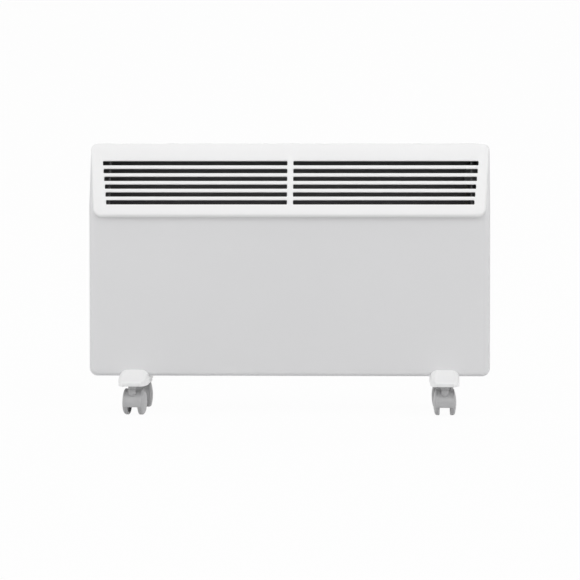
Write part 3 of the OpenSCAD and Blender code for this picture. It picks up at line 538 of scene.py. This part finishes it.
SLOT_ROWS = 6
SLOT_PITCH = 12.04 * MM
SLOT_HEIGHT = 6.9 * MM
SLOT_FIRST = 2.7 * MM
SLOT_LAST = SLOT_FIRST + (SLOT_ROWS - 1) * SLOT_PITCH
SLOT_CORNER = 1.4 * MM
SLOT_LOW_MARGIN = 18.3 * MM
SLOT_TOP_MARGIN = 15.8 * MM
SLOT_SIDE = 1.3 * MM
CENTRE_BAR = 8.7 * MM
HOOD_TOP = 94.5 * MM
HOOD_LOW = -18.2 * MM
HOOD_TOP_HALF = 297 * MM
HOOD_LOW_HALF = 289.25 * MM
HOOD_TOP_CORNER = 10.5 * MM
HOOD_LOW_CORNER = 12 * MM
HOOD_GAP = 0.2 * MM
SKIRT_STEP = 0.6 * MM
RIM_INSET = 12.6 * MM
BLADE_DEPTH = 5 * MM
BLADE_THICKNESS = 1.8 * MM
BLADE_OVERLAP = 0.3 * MM
RIB_X = 268.5 * MM
RIB_WIDTH = 2 * MM
RIB_DEPTH = 5.5 * MM
RIB_BEHIND = 5.25 * MM


def hood_half(v):
    """Half the hood's width at height v up the slope; its sides lean out evenly."""
    return HOOD_LOW_HALF + (HOOD_TOP_HALF - HOOD_LOW_HALF) * (v - HOOD_LOW) / (HOOD_TOP - HOOD_LOW)


def slot_half(v):
    """Half the distance between the outer slot ends at height v, with a margin that narrows
    evenly."""
    rise = (v - SLOT_FIRST) / (SLOT_LAST - SLOT_FIRST)
    return hood_half(v) - SLOT_LOW_MARGIN - (SLOT_TOP_MARGIN - SLOT_LOW_MARGIN) * rise


def on_slope(points):
    """Takes (x, d, v), with d out from the slope and v up it, to the row frame: y = front - d cos +
    v sin and z = bend + d sin + v cos, at the slope's lean."""
    size = sizes()
    low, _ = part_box("front_panel")
    bend = low.z + size.bend_height
    sin, cos = math.sin(size.lean), math.cos(size.lean)
    x, d, v = np.moveaxis(np.asarray(points, float), -1, 0)
    return np.stack([x, low.y - d * cos + v * sin, bend + d * sin + v * cos], -1)


def casing_under(x, v):
    """How far the casing lies from the slope's plane at (x, v): along the upright front below the
    bend, and over the quarter round of its sides."""
    size = sizes()
    _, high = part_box("front_panel")
    over = np.clip(np.abs(x) - (high.x - size.side_round), 0, size.side_round)
    side = size.side_round - np.sqrt(size.side_round**2 - over**2)
    return np.minimum(v, 0) * math.tan(size.lean) - side + HOOD_GAP


def outlet_hood():
    """The moulded outlet hood: cells with a slot each, and around them a rim that goes over a
    quarter round and down to the casing, then up inside as the wall's inner face. Behind each bar
    between two rows is a blade, a rounded rectangle carried straight across."""
    size = sizes()
    face, wall = size.hood_proud, size.hood_wall
    back = face - wall
    v0, v1 = HOOD_LOW + RIM_INSET, HOOD_TOP - RIM_INSET
    rows_v = [v0] + [SLOT_FIRST + (k + 0.5) * SLOT_PITCH for k in range(SLOT_ROWS - 1)] + [v1]
    side_steps, cross_steps = 4, 24
    side_v = [np.linspace(*ends, side_steps + 1)[:-1] for ends in zip(rows_v, rows_v[1:])]
    rise = (np.concatenate([*side_v, [v1]]) - v0) / (v1 - v0)
    cross = np.linspace(0, 1, 2 * cross_steps + 1)
    inset, drop = quarter(size.hood_round, 9)
    outline = rounded_outline(
        [(-HOOD_LOW_HALF, HOOD_LOW), (HOOD_LOW_HALF, HOOD_LOW),
         (HOOD_TOP_HALF, HOOD_TOP), (-HOOD_TOP_HALF, HOOD_TOP)],
        [HOOD_LOW_CORNER, HOOD_LOW_CORNER, HOOD_TOP_CORNER, HOOD_TOP_CORNER],
        np.concatenate([[RIM_INSET], inset, [0, 0, wall, wall, RIM_INSET]]),
        [share[1:-1] for share in (cross, rise, cross, 1 - rise[::-1])],
        14,
    )
    land = casing_under(outline[..., 0], outline[..., 1])
    depth = np.empty(outline.shape[:2])
    depth[0] = face
    depth[1 : 1 + len(drop)] = (face - drop)[:, None]
    # The last five rows: the skirt's top, its edge outside and inside, and the inner face.
    depth[-5] = np.minimum(land[-5] + SKIRT_STEP, face - size.hood_round)
    depth[-4:-2] = land[-4:-2]
    depth[-2:] = back
    rim = points_of(outline[..., 0], depth, outline[..., 1])
    parts = [flip(sheet_of(on_slope(rim)))]

    edge_in, edge_drop = quarter(size.slot_round, 4)
    slot_inset = np.concatenate([-edge_in, [0, 0.12 * MM]])
    depth = np.concatenate([[face], face - edge_drop, [face - 0.8 * MM, back, back]])[:, None]
    rim_across = RIM_INSET / math.cos(
        math.atan2(HOOD_TOP_HALF - HOOD_LOW_HALF, HOOD_TOP - HOOD_LOW)
    )
    upright = np.linspace(0, 1, side_steps + 1)[1:-1]
    level = np.linspace(0, 1, cross_steps + 1)[1:-1]
    cell_runs = [level, upright, level, upright]
    for k, (low, high) in enumerate(zip(rows_v, rows_v[1:])):
        centre = SLOT_FIRST + k * SLOT_PITCH
        cell = [
            (0, low), (hood_half(low) - rim_across, low),
            (hood_half(high) - rim_across, high), (0, high),
        ]
        slot = rectangle(
            CENTRE_BAR / 2, centre - SLOT_HEIGHT / 2, slot_half(centre), centre + SLOT_HEIGHT / 2
        )
        border = rounded_outline(cell, [0] * 4, [0], cell_runs, 6)
        for side in (1, -1):
            hole = rounded_outline(
                np.array(slot) + [side * SLOT_SIDE, 0], [SLOT_CORNER] * 4, slot_inset, cell_runs, 6
            )
            rows = np.concatenate([border, hole, border])
            cut = sheet_of(on_slope(points_of(side * rows[..., 0], depth, rows[..., 1])))
            parts.append(cut if side > 0 else flip(cut))

    blade = bar_section(BLADE_DEPTH, BLADE_THICKNESS, 0.6 * MM, 4)
    behind = back + BLADE_OVERLAP - BLADE_DEPTH / 2
    for v in rows_v[1:-1]:
        half = slot_half(v - SLOT_PITCH / 2) - 2 * MM
        ends = SLOT_SIDE + np.array([[-half], [half]])
        bar = points_of(ends, behind + blade[:, 0], v + blade[:, 1])
        parts.append(flip(sheet_of(on_slope(capped(bar)))))
    piece("outlet_hood_moulding", join(parts), "root", "white_moulding", "outlet_grille", sharp=42)


def outlet_ribs():
    """Three upright ribs behind the blades: a rounded rectangle carried up the slope, in the black
    finish as painted shade for the shadow they lie in.
    """
    parts = []
    rib = bar_section(RIB_WIDTH, RIB_DEPTH, 0.3 * MM, 3)
    depth = sizes().hood_proud - sizes().hood_wall - RIB_BEHIND
    ends = np.array([[SLOT_FIRST - SLOT_PITCH / 2], [SLOT_LAST + SLOT_PITCH / 2]])
    for x in (-RIB_X, 0, RIB_X):
        bar = points_of(SLOT_SIDE + x + rib[:, 0], depth + rib[:, 1], ends)
        parts.append(flip(sheet_of(on_slope(capped(bar)))))
    # The black finish of the ribs is painted shade: they lie in shadow behind the slots.
    piece("outlet_ribs", join(parts), "root", "black_moulding")


class HEATER_OT_outlet_hood(bpy.types.Operator):
    """Builds the outlet hood with its slots, blades and ribs"""

    bl_idname = "heater.outlet_hood"
    bl_label = "Outlet hood"

    def execute(self, context):
        outlet_hood()
        outlet_ribs()
        return {"FINISHED"}


FOOT_WALL = 2.4 * MM
FOOT_REACH = 88.5 * MM
FOOT_HEIGHT = 21.3 * MM
FOOT_WIDEST_Y, FOOT_REAR_Y = 4.5 * MM, 52 * MM
FOOT_FRONT_HALF, FOOT_REAR_HALF = 21.5 * MM, 17 * MM
TIP_START = 54.5 * MM
TIP_LENGTH = 34 * MM
TIP_NARROWING = 9 * MM
END_ROUND = 1.4 * MM
ARCH_FRONT, ARCH_REAR = 43.2 * MM, 52.2 * MM
CROWN_FALL = 15.3 * MM
SHOULDER, SHOULDER_FALL = 10 * MM, 8.4 * MM
CROWN_SIDE, CROWN_WIDENING = 12 * MM, 10.4 * MM
CROWN_LEAST_HALF, CROWN_LEAST_SIDE = 4 * MM, 1.4 * MM
CASING_GAP = 0.2 * MM
END_DRAWN_IN = 0.984
LEAST_DEEP = 3 * MM
STEM_Y = 70 * MM


def foot_section(y):
    """A foot's cross-section at y, as its half width, height, crown half width and shoulder height.
    In plan a tip is half of a long ellipse with a flat front: the half width falls by
    n (1 - sqrt(1 - t^2)), with n the narrowing and t the share of the tip's length. The foot is
    narrower at the rear; the crown falls in a straight line from the arch to the tip, and its end
    goes over a small quarter round."""
    wide = np.interp(y, [FOOT_WIDEST_Y, FOOT_REAR_Y], [FOOT_FRONT_HALF, FOOT_REAR_HALF])
    tip = np.clip((np.abs(y) - TIP_START) / TIP_LENGTH, 0, 1)
    half = wide - TIP_NARROWING * (1 - np.sqrt(1 - tip**2))
    arch = np.where(y < 0, ARCH_FRONT, ARCH_REAR)
    share = np.clip((np.abs(y) - arch) / (FOOT_REACH - arch), 0, 1)
    over = np.clip((np.abs(y) - (FOOT_REACH - END_ROUND)) / END_ROUND, 0, 1)
    height = FOOT_HEIGHT - CROWN_FALL * share - END_ROUND * (1 - np.sqrt(1 - over**2))
    crown = np.maximum(half - CROWN_SIDE + CROWN_WIDENING * share, CROWN_LEAST_HALF)
    crown = np.minimum(crown, half - CROWN_LEAST_SIDE)
    return half, height, crown, SHOULDER - SHOULDER_FALL * share


def casing_above(y):
    """Height of the casing's underside above a foot's floor, with its rounded lower edges; out of
    the way beyond them."""
    foot_low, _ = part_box("left_foot")
    low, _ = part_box("front_panel")
    _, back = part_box("rear_casing")
    r = sizes().low_round
    near = np.minimum(y - (low.y - CASING_GAP), (back.y + CASING_GAP) - y)
    arc = np.clip(r - near, 0, r)
    under = low.z - CASING_GAP - foot_low.z + r - np.sqrt(r * r - arc * arc)
    return np.where(near < 0, 1.0, under)


def foot_moulding(name):
    """A foot as two sheets over the same grid, outside and inside, joined along their lower rim;
    a row is the section's left side, left shoulder (a quarter ellipse), crown, right shoulder and
    right side, held below the casing's underside. The end faces draw in towards the rim. Inside
    are two round bosses for the castors' stems."""
    tip = [87.1, 87.4, 87.9, 88.3, 88.47, 88.5, 88.5]
    front = -np.concatenate([tip[::-1], np.linspace(86, 43.3, 30), [43.2]]) * MM
    under = np.concatenate(
        [[-43.2], np.linspace(-43.1, -37.2, 12), np.linspace(-37, 46, 18),
         np.linspace(46.2, 52.1, 12), [52.2]]
    ) * MM
    rear = np.concatenate([[52.2, 52.3], np.linspace(53, 86, 26), tip]) * MM
    y = np.concatenate([front, under, rear])
    half, height, crown, shoulder = (measure[:, None] for measure in foot_section(y))
    turn = np.linspace(0, np.pi / 2, 11)
    flat = np.linspace(-1, 1, 9)[1:-1]
    side_z = (height - shoulder) * [0, 0.34, 0.67]
    side_x = np.broadcast_to(half, side_z.shape)
    round_x = crown + (half - crown) * np.cos(turn)
    round_z = height - shoulder + shoulder * np.sin(turn)
    x = np.concatenate([-side_x, -round_x, crown * flat, round_x[:, ::-1], side_x], 1)
    top_z = np.broadcast_to(height, (len(y), len(flat)))
    z = np.concatenate([side_z, round_z, top_z, round_z[:, ::-1], side_z[:, ::-1]], 1)
    covered = slice(len(front), len(front) + len(under))
    z[covered] = np.minimum(z[covered], casing_above(under)[:, None])
    z[0] = z[-1] = 0
    drawn_in = np.where(np.arange(len(y)) % (len(y) - 1) == 0, END_DRAWN_IN, 1)

    def shell(inset):
        along = y * drawn_in * (1 - inset / FOOT_REACH)
        deep = np.maximum(z.max(1, keepdims=True), LEAST_DEEP)
        return points_of(x * (1 - inset / half), along[:, None], z * (1 - inset / deep))

    def border(grid):
        """The points of the grid's edge, once round."""
        return np.concatenate([grid[0, :-1], grid[:-1, -1], grid[-1, :0:-1], grid[:0:-1, 0]])

    outer, inner = shell(0), shell(FOOT_WALL)
    parts = [
        sheet_of(outer, closed=False),
        flip(sheet_of(inner, closed=False)),
        sheet_of(np.stack([border(inner), border(outer)])),
    ]
    boss = np.array([(5.65, 8.4), (5.65, 0), (8, 0), (8, 8.4), (5.65, 8.4)]) * MM
    for stem in (-STEM_Y, STEM_Y):
        vertices, triangles = lathe(boss, 40)
        parts.append((vertices + [0, stem, 0], triangles))
    vertices, triangles = join(parts)
    place = [box_middle(name)[0], 0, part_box(name)[0].z]
    piece(name + "_moulding", (vertices + place, triangles), "root", "white_moulding", name)


class HEATER_OT_feet(bpy.types.Operator):
    """Builds the two moulded feet"""

    bl_idname = "heater.feet"
    bl_label = "Feet"

    def execute(self, context):
        foot_moulding("left_foot")
        foot_moulding("right_foot")
        return {"FINISHED"}


CASTORS = ("front_left", "front_right", "rear_left", "rear_right")
JOINTS = {j["name"]: j for j in frame["record"]["behaviour"]["joints"]}
WHEEL_R = 18.25 * MM
WHEEL_W = 9.2 * MM
WHEEL_GAP = 15.6 * MM
TRAIL = 15 * MM
HOOD_R = 20.3 * MM
HOOD_HALF = 14 * MM
HOOD_EDGE = 12.4 * MM
WEB_R = HOOD_R - 1.2 * MM
WEB_HALF = WHEEL_GAP / 2 - 0.4 * MM
WEB_ROUND = 0.5 * MM
SOCKET_R = 5.6 * MM
STEM_BORE = 4.05 * MM
BORE_FLOOR = WHEEL_R + 11 * MM


def placed(part, tag):
    """Carries a part drawn with its stem at the origin and its wheels toward +y to its castor, at
    the angle of that castor's axle."""
    stem = box_middle("stem_" + tag)
    way = 1 if tag.startswith("front") else -1
    axis = JOINTS[f"roll_{tag}_a"]["axis"]
    cos, sin = way * axis[0], way * axis[1]
    vertices, triangles = part
    x, y, z = vertices.T
    return points_of(cos * x - sin * y + stem[0], sin * x + cos * y + stem[1], z), triangles


def castor_hood(tag):
    """Arched hood: a thin section with a bead along each side, carried about the wheels' axis from
    the front edge over the top to the rear edge; a web between the wheels; and a round socket with
    a ball end in front for the stem."""
    top = HOOD_R - sizes().hood_bead
    # The lower lip, the side and the bead, in mm from the side's upper corner.
    edge = [(0.4, -1.4), (0, -1), (0, -0.9), (0.25, -0.35), (0.8, -0.05), (1.4, 0), (1.9, -0.1)]
    edge = np.array(edge) * MM + [-HOOD_HALF, HOOD_R]
    side = np.concatenate([edge, [(2.3 * MM - HOOD_HALF, top)]])
    flat = np.stack([np.linspace(-10, 10, 9) * MM, np.full(9, top)], 1)
    x, radius = np.concatenate([side, flat, side[::-1] * [-1, 1]]).T
    start = math.asin((HOOD_EDGE - WHEEL_R) / HOOD_R)
    angle = np.linspace(start, math.pi - start, 61)[:, None]
    arch = points_of(x, TRAIL - np.cos(angle) * radius, WHEEL_R + np.sin(angle) * radius)

    start = math.asin((HOOD_EDGE - WHEEL_R) / WEB_R)
    angle = np.linspace(start, math.pi - start, 49)
    web_x = np.array([-WEB_HALF, WEB_ROUND - WEB_HALF, WEB_HALF - WEB_ROUND, WEB_HALF])
    shrink = np.array([[WEB_ROUND], [0], [0], [WEB_ROUND]])
    web = points_of(
        web_x[:, None],
        TRAIL - np.cos(angle) * (WEB_R - shrink),
        WHEEL_R + np.maximum(np.sin(angle) * (WEB_R - shrink), HOOD_EDGE - WHEEL_R + shrink),
    )

    turn = np.linspace(0, np.pi / 2, 9)
    ball = np.stack([np.sin(turn), 1 - np.cos(turn)], 1) * SOCKET_R + [0, WHEEL_R + HOOD_R / 2]
    rim = np.array([(0, -0.5), (-0.15, -0.15), (-0.5, 0)]) * MM + [SOCKET_R, WHEEL_R + HOOD_R]
    bore = [(STEM_BORE, WHEEL_R + HOOD_R), (STEM_BORE, BORE_FLOOR), (0, BORE_FLOOR)]
    socket = lathe(np.concatenate([ball, rim, bore]), 40)
    part = join([sheet_of(capped(arch)), flip(sheet_of(capped(web))), socket])
    piece(
        "castor_hood_" + tag, placed(part, tag), "castor_" + tag, "castor_moulding", "hood_" + tag,
        sharp=45,
    )


def castor_wheel(tag, half):
    """Wheel turned about its axle: a domed outer disc with a shallow ring, a rounded tread and a
    dished inner side with a hub."""
    side = 1 if half == "b" else -1
    disc = np.array([0, 2.5, 5, 8, 10.5, 11.2, 11.7, 12.2, 12.9, 14.2, 15.2, 15.8, 16.1])
    dome = WHEEL_W / MM - 2.2 * (disc / 16.4) ** 2
    dome[5:8] -= [0.12, 0.3, 0.12]
    tread = [
        (16.6, 6.7), (17.2, 6.2), (17.75, 5.5), (18.1, 4.8), (18.25, 4.1), (18.25, 1.2),
        (18.1, 0.5), (17.6, 0.1), (17.1, 0),
    ]
    inner = [
        (15.2, 0), (15.0, 0.3), (14.9, 3), (6.1, 3), (6, 2.8), (5.8, 0), (2.6, 0), (2.55, 0.2),
        (2.55, 6.5), (0, 6.5),
    ]
    profile = np.concatenate([np.stack([disc, dome], 1), tread, inner]) * MM
    vertices, triangles = lathe(profile, 72)
    axle = [side * WHEEL_GAP / 2, TRAIL, WHEEL_R]
    part = (vertices[:, ::-1] * [side, 1, 1] + axle, triangles)
    part = flip(part) if side < 0 else part
    wheel = f"wheel_{tag}_{half}"
    piece("castor_" + wheel, placed(part, tag), wheel, "castor_tread", wheel, sharp=50)


def castor_collar(tag):
    """Nylon collar round the stem between the castor's hood and the foot: a ring turned about the
    stem, with small roundings at its ends."""
    ring = [(5.45, 0.1), (5.8, 0.1), (5.95, 0.3), (5.95, 5), (5.8, 5.2), (5.45, 5.2), (5.45, 0.1)]
    part = lathe(np.array(ring) * MM + [0, WHEEL_R + HOOD_R], 48)
    piece(
        "castor_collar_" + tag, placed(part, tag), "castor_" + tag, "castor_moulding", sharp=45
    )


class HEATER_OT_castors(bpy.types.Operator):
    """Builds the four castors' hoods, their collars and their eight wheels"""

    bl_idname = "heater.castors"
    bl_label = "Castors"

    def execute(self, context):
        for tag in CASTORS:
            castor_hood(tag)
            castor_collar(tag)
            for half in "ab":
                castor_wheel(tag, half)
        return {"FINISHED"}


KNOB_STEPS = 216
KNOB_FLUTES = 36
FLUTE_DEPTH = 0.012
DRUM_R = 11.4
DRUM_FLAT_R = 10.6
DRUM_HEIGHT = 7.4
GRIP_HEIGHT = 3.8
GRIP_HALF, GRIP_EDGE = 2.9, 0.8
POINTER_START, POINTER_END = 3.8, 0.4
POINTER_HALF, POINTER_EDGE, POINTER_DEPTH = 0.9, 0.25, 0.6


def thermostat_knob():
    """Knob on a polar grid: the height is that of the drum, plus a grip bar across it with soft
    edges and a pointer groove in the bar's upper half; the drum's side has shallow flutes, and
    below it a round skirt goes over a small rounding. The sizes are in mm until the knob is
    placed."""
    turn = np.linspace(0, 2 * np.pi, KNOB_STEPS, endpoint=False)
    flute = 1 - FLUTE_DEPTH * (0.5 - 0.5 * np.cos(KNOB_FLUTES * turn)) ** 2
    level = np.ones(KNOB_STEPS)

    def crown(r):
        up, across = r * np.cos(turn), r * np.sin(turn)
        edge = np.clip((GRIP_HALF - np.abs(across)) / GRIP_EDGE, 0, 1)
        groove = np.clip((POINTER_HALF - np.abs(across)) / POINTER_EDGE, 0, 1)
        groove = groove * np.clip((up - POINTER_START) / POINTER_END, 0, 1)
        return DRUM_HEIGHT + GRIP_HEIGHT * smooth_step(edge) - POINTER_DEPTH * groove

    top_r = np.concatenate([np.linspace(0, DRUM_FLAT_R, 34), [10.9, 11.15]])[:, None]
    top = crown(top_r) - 0.5 * np.maximum(0, top_r - DRUM_FLAT_R)
    rim = crown(11.3)
    skirt = np.array(
        [(11.7, 3.6), (12.5, 3.5), (12.85, 3.3), (13, 2.9), (13, 0.3), (12.8, 0), (3.05, 0),
         (3.05, 5.6), (0, 5.6)]
    )
    drum_r = DRUM_R * flute * np.array([[0.997], [1], [1]])
    radius = np.concatenate([top_r * level, drum_r, skirt[:, :1] * level])
    height = np.concatenate([top, [rim - 0.5, rim - 0.9, 4 * level], skirt[:, 1:] * level])
    points = points_of(height, radius * np.sin(turn), radius * np.cos(turn)) * MM
    name = "thermostat_knob"
    place = [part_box(name)[0].x, *box_middle(name)[1:]]
    piece(name + "_moulding", sheet_of(points + place), "knob", "white_moulding", name, sharp=38)


def thermostat_case():
    """Black phenolic case of the thermostat behind the recess: a rounded rectangle carried across,
    its ends drawn in by a small rounding."""
    low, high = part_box("thermostat_body")
    inset, drop = quarter(1.2 * MM, 4)
    outline = rounded_outline(
        rectangle(low.y, low.z, high.y, high.z),
        [2 * MM] * 4, np.concatenate([inset, inset[::-1]]), [[]] * 4, 5,
    )
    across = np.concatenate([low.x + drop, high.x - drop[::-1]])[:, None]
    rows = points_of(across, outline[..., 0], outline[..., 1])
    piece("thermostat_case", sheet_of(capped(rows)), "root", "black_moulding", "thermostat_body")


DOTS = 10
DOT_STEP, DOT_START = 27, -135
DOT_RING_R = 14.9 * MM
DOT_FIRST_R, DOT_GROWTH = 0.35 * MM, 0.05 * MM
DOT_HEIGHT = 0.35 * MM
DOT_FLOOR = 0.6 * MM


def scale_dots():
    """Raised dots round the knob, evenly spaced from its lower left, that grow with the setting;
    each is a dome: height = h sqrt(1 - (r / R)^2)."""
    low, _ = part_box("thermostat_knob")
    centre = [low.x - DOT_FLOOR, *box_middle("thermostat_knob")[1:]]
    rise = np.linspace(0, np.pi / 2, 6)
    parts = []
    for k in range(DOTS):
        angle = math.radians(DOT_STEP * k + DOT_START)
        size = DOT_FIRST_R + DOT_GROWTH * k
        dome = np.stack([size * np.cos(rise), DOT_HEIGHT * np.sin(rise)], 1)
        vertices, triangles = lathe(np.concatenate([[[0, 0]], dome]), 20)
        place = np.array([0, math.sin(angle), math.cos(angle)]) * DOT_RING_R + centre
        parts.append((vertices[:, [2, 0, 1]] + place, triangles))
    piece("knob_scale_dots", join(parts), "root", "black_moulding", sharp=60)


ROCKER_TILT = math.radians(9)


def switch_rocker(name):
    """Rocker: its section is a shallow parabola on top, x = 3.3 + 1.3 (z / 9)^2 mm, over straight
    sides that draw in below; carried across, its ends drawn in by a small rounding, and tilted to
    its off side."""
    z = np.linspace(-8.6, 8.6, 17)
    top = np.stack([3.3 + 1.3 * (z / 9) ** 2, z], 1)
    below = np.array([(4.25, 8.9), (3.9, 9), (-1.33, 9), (-4, 4.5)])
    section = np.concatenate([top, below, below[::-1] * [1, -1]])
    across = np.array([-5.7, -5.6, -5.2, 5.2, 5.6, 5.7])[:, None]
    shrink = np.array([0.94, 0.975, 1, 1, 0.975, 0.94])[:, None]
    x, z = section[:, 0] * shrink, section[:, 1] * shrink
    cos, sin = math.cos(ROCKER_TILT), math.sin(ROCKER_TILT)
    points = points_of(x * cos + z * sin, across, z * cos - x * sin) * MM
    part = flip(sheet_of(capped(points + JOINTS[name + "_tilt"]["pos_m"])))
    piece(name + "_moulding", part, name, "black_moulding", name, sharp=35)


class HEATER_OT_controls(bpy.types.Operator):
    """Builds the thermostat's knob, case and scale and the two switch rockers"""

    bl_idname = "heater.controls"
    bl_label = "Controls"

    def execute(self, context):
        thermostat_knob()
        thermostat_case()
        scale_dots()
        switch_rocker("rocker_upper")
        switch_rocker("rocker_lower")
        return {"FINISHED"}


class HEATER_OT_finishes(bpy.types.Operator):
    """Gives each CAD node that still shows the finish of its slot"""

    bl_idname = "heater.finishes"
    bl_label = "Finishes of the CAD nodes"

    def execute(self, context):
        slot_of = {p["node"]: p["material_slot"] for p in frame["record"]["subparts"]}
        for name, node in frame["nodes"].items():
            finish = finish_of(slot_of[name])
            node.data.materials.clear()
            node.data.materials.append(finish)
        return {"FINISHED"}


PAPER = (0.8, 0.8, 0.8, 1)
PAPER_WHITE = 0.96
SURROUNDINGS = 0.345
LAMPS = (
    ("key_softbox", (0.2, -2.9, 2.9), 2.4, 1.8, 23),
    ("left_softbox", (-3.0, -1.7, 1.6), 2.6, 2.6, 39),
    ("right_softbox", (3.0, -1.7, 1.6), 2.6, 2.6, 39),
    ("top_softbox", (0.0, -0.6, 3.2), 2.4, 1.6, 9),
    ("rear_softbox", (0.0, 2.3, 1.9), 2.6, 1.6, 20),
)
LAMP_AIM = (0, 0, 0.2)


def seen_directly(owner):
    """1 for what the camera sees, also in a mirror or through glass, and 0 for what only lights."""
    path = add_node(owner, "ShaderNodeLightPath")
    seen = path.outputs["Is Camera Ray"]
    for ray in ("Is Glossy Ray", "Is Transmission Ray"):
        links = {0: seen, 1: path.outputs[ray]}
        seen = add_node(owner, "ShaderNodeMath", links, operation="MAXIMUM").outputs[0]
    return seen


def backdrop_material():
    """Matt white studio paper. What the camera and mirrors see of it is white; a part of its colour
    stays lit by the lamps, so that the object's shadow shows."""
    material = new_material("white_studio_paper")
    seen = seen_directly(material)
    share = add_node(material, "ShaderNodeMath", {0: seen}, operation="MULTIPLY")
    share.inputs[1].default_value = PAPER_WHITE
    paper = add_node(material, "ShaderNodeBsdfDiffuse", Color=PAPER)
    white = add_node(material, "ShaderNodeEmission", Color=(1, 1, 1, 1), Strength=1.0)
    mix = add_node(
        material, "ShaderNodeMixShader",
        {0: share.outputs[0], 1: paper.outputs[0], 2: white.outputs[0]},
    )
    add_node(material, "ShaderNodeOutputMaterial", {"Surface": mix.outputs[0]})
    return material


def backdrop():
    """Floor and backdrop in one sheet: flat, then a quarter round of 0.8 m, then upright; each row
    is carried straight across."""
    turn = np.linspace(0, np.pi / 2, 25)
    bend, radius = 2.2, 0.8
    y = np.concatenate([[-6.0, bend], bend + radius * np.sin(turn)[1:], [bend + radius]])
    z = np.concatenate([[0, 0], radius * (1 - np.cos(turn))[1:], [5.0]])
    vertices, triangles = sheet_of(points_of([-7.0, 7.0], y[:, None], z[:, None]), closed=False)
    mesh = bpy.data.meshes.new("studio_backdrop")
    mesh.from_pydata(vertices.tolist(), [], triangles.tolist())
    mesh.shade_smooth()
    mesh.materials.append(backdrop_material())
    made = bpy.data.objects.new("studio_backdrop", mesh)
    bpy.context.scene.collection.objects.link(made)


def lamp(name, place, width, height, power):
    """A rectangular softbox that looks at the object's middle; its power is in watts."""
    data = bpy.data.lights.new(name, "AREA")
    data.shape, data.size, data.size_y, data.energy = "RECTANGLE", width, height, power
    made = bpy.data.objects.new(name, data)
    made.location = place
    made.rotation_euler = (Vector(LAMP_AIM) - Vector(place)).to_track_quat("-Z", "Y").to_euler()
    bpy.context.scene.collection.objects.link(made)


def world_light():
    """Even white surroundings: full white where the camera and mirrors look, softer as light."""
    world = bpy.data.worlds.new("white_studio")
    bpy.context.scene.world = world
    world.use_nodes = True
    world.node_tree.nodes.clear()
    strength = add_node(
        world, "ShaderNodeMapRange", {"Value": seen_directly(world)}, To_Min=SURROUNDINGS,
        To_Max=1.0,
    )
    light = add_node(
        world, "ShaderNodeBackground", {"Strength": strength.outputs[0]}, Color=(1, 1, 1, 1)
    )
    add_node(world, "ShaderNodeOutputWorld", {"Surface": light.outputs[0]})


def photo_camera():
    """The photograph's camera, with its place and shift as matched to the casing and castors."""
    data = bpy.data.cameras.new("photo_camera")
    data.sensor_width, data.lens = 36, 136.67
    data.shift_x, data.shift_y = -0.0776, -0.0948
    data.clip_start, data.clip_end = 0.1, 30
    camera = bpy.data.objects.new("photo_camera", data)
    camera.location = (0.140507, -3.297, 0.348698)
    camera.rotation_euler = (math.radians(88.531), 0, math.radians(1.279))
    bpy.context.scene.collection.objects.link(camera)
    bpy.context.scene.camera = camera


class HEATER_OT_stage(bpy.types.Operator):
    """Sets up the backdrop, the soft lamps and the camera of the photograph"""

    bl_idname = "heater.stage"
    bl_label = "Stage"

    def execute(self, context):
        backdrop()
        world_light()
        for settings in LAMPS:
            lamp(*settings)
        photo_camera()
        context.scene.view_settings.view_transform = "Standard"
        return {"FINISHED"}


class HEATER_PT_panel(bpy.types.Panel):
    """Lists the heater's pieces in the sidebar"""

    bl_idname = "HEATER_PT_panel"
    bl_label = "Panel heater"
    bl_space_type = "VIEW_3D"
    bl_region_type = "UI"
    bl_category = "Heater"

    def draw(self, context):
        column = self.layout.column()
        for settings in (context.scene.heater_sizes, context.scene.heater_colours):
            for name in settings.bl_rna.properties.keys():
                if name not in ("rna_type", "name"):
                    column.prop(settings, name)
        for operator in OPERATORS:
            column.operator(operator.bl_idname)


OPERATORS = (
    HEATER_OT_finishes, HEATER_OT_casing, HEATER_OT_outlet_hood, HEATER_OT_feet,
    HEATER_OT_castors, HEATER_OT_controls, HEATER_OT_stage,
)
CLASSES = (HeaterSizes, HeaterColours, *OPERATORS, HEATER_PT_panel)


def register():
    for cls in CLASSES:
        bpy.utils.register_class(cls)
    bpy.types.Scene.heater_sizes = PointerProperty(type=HeaterSizes)
    bpy.types.Scene.heater_colours = PointerProperty(type=HeaterColours)


def unregister():
    del bpy.types.Scene.heater_colours
    del bpy.types.Scene.heater_sizes
    for cls in reversed(CLASSES):
        bpy.utils.unregister_class(cls)


def main():
    register()
    bpy.ops.heater.finishes()
    bpy.ops.heater.casing()
    bpy.ops.heater.outlet_hood()
    bpy.ops.heater.feet()
    bpy.ops.heater.castors()
    bpy.ops.heater.controls()
    bpy.ops.heater.stage()


if __name__ == "__main__":
    main()
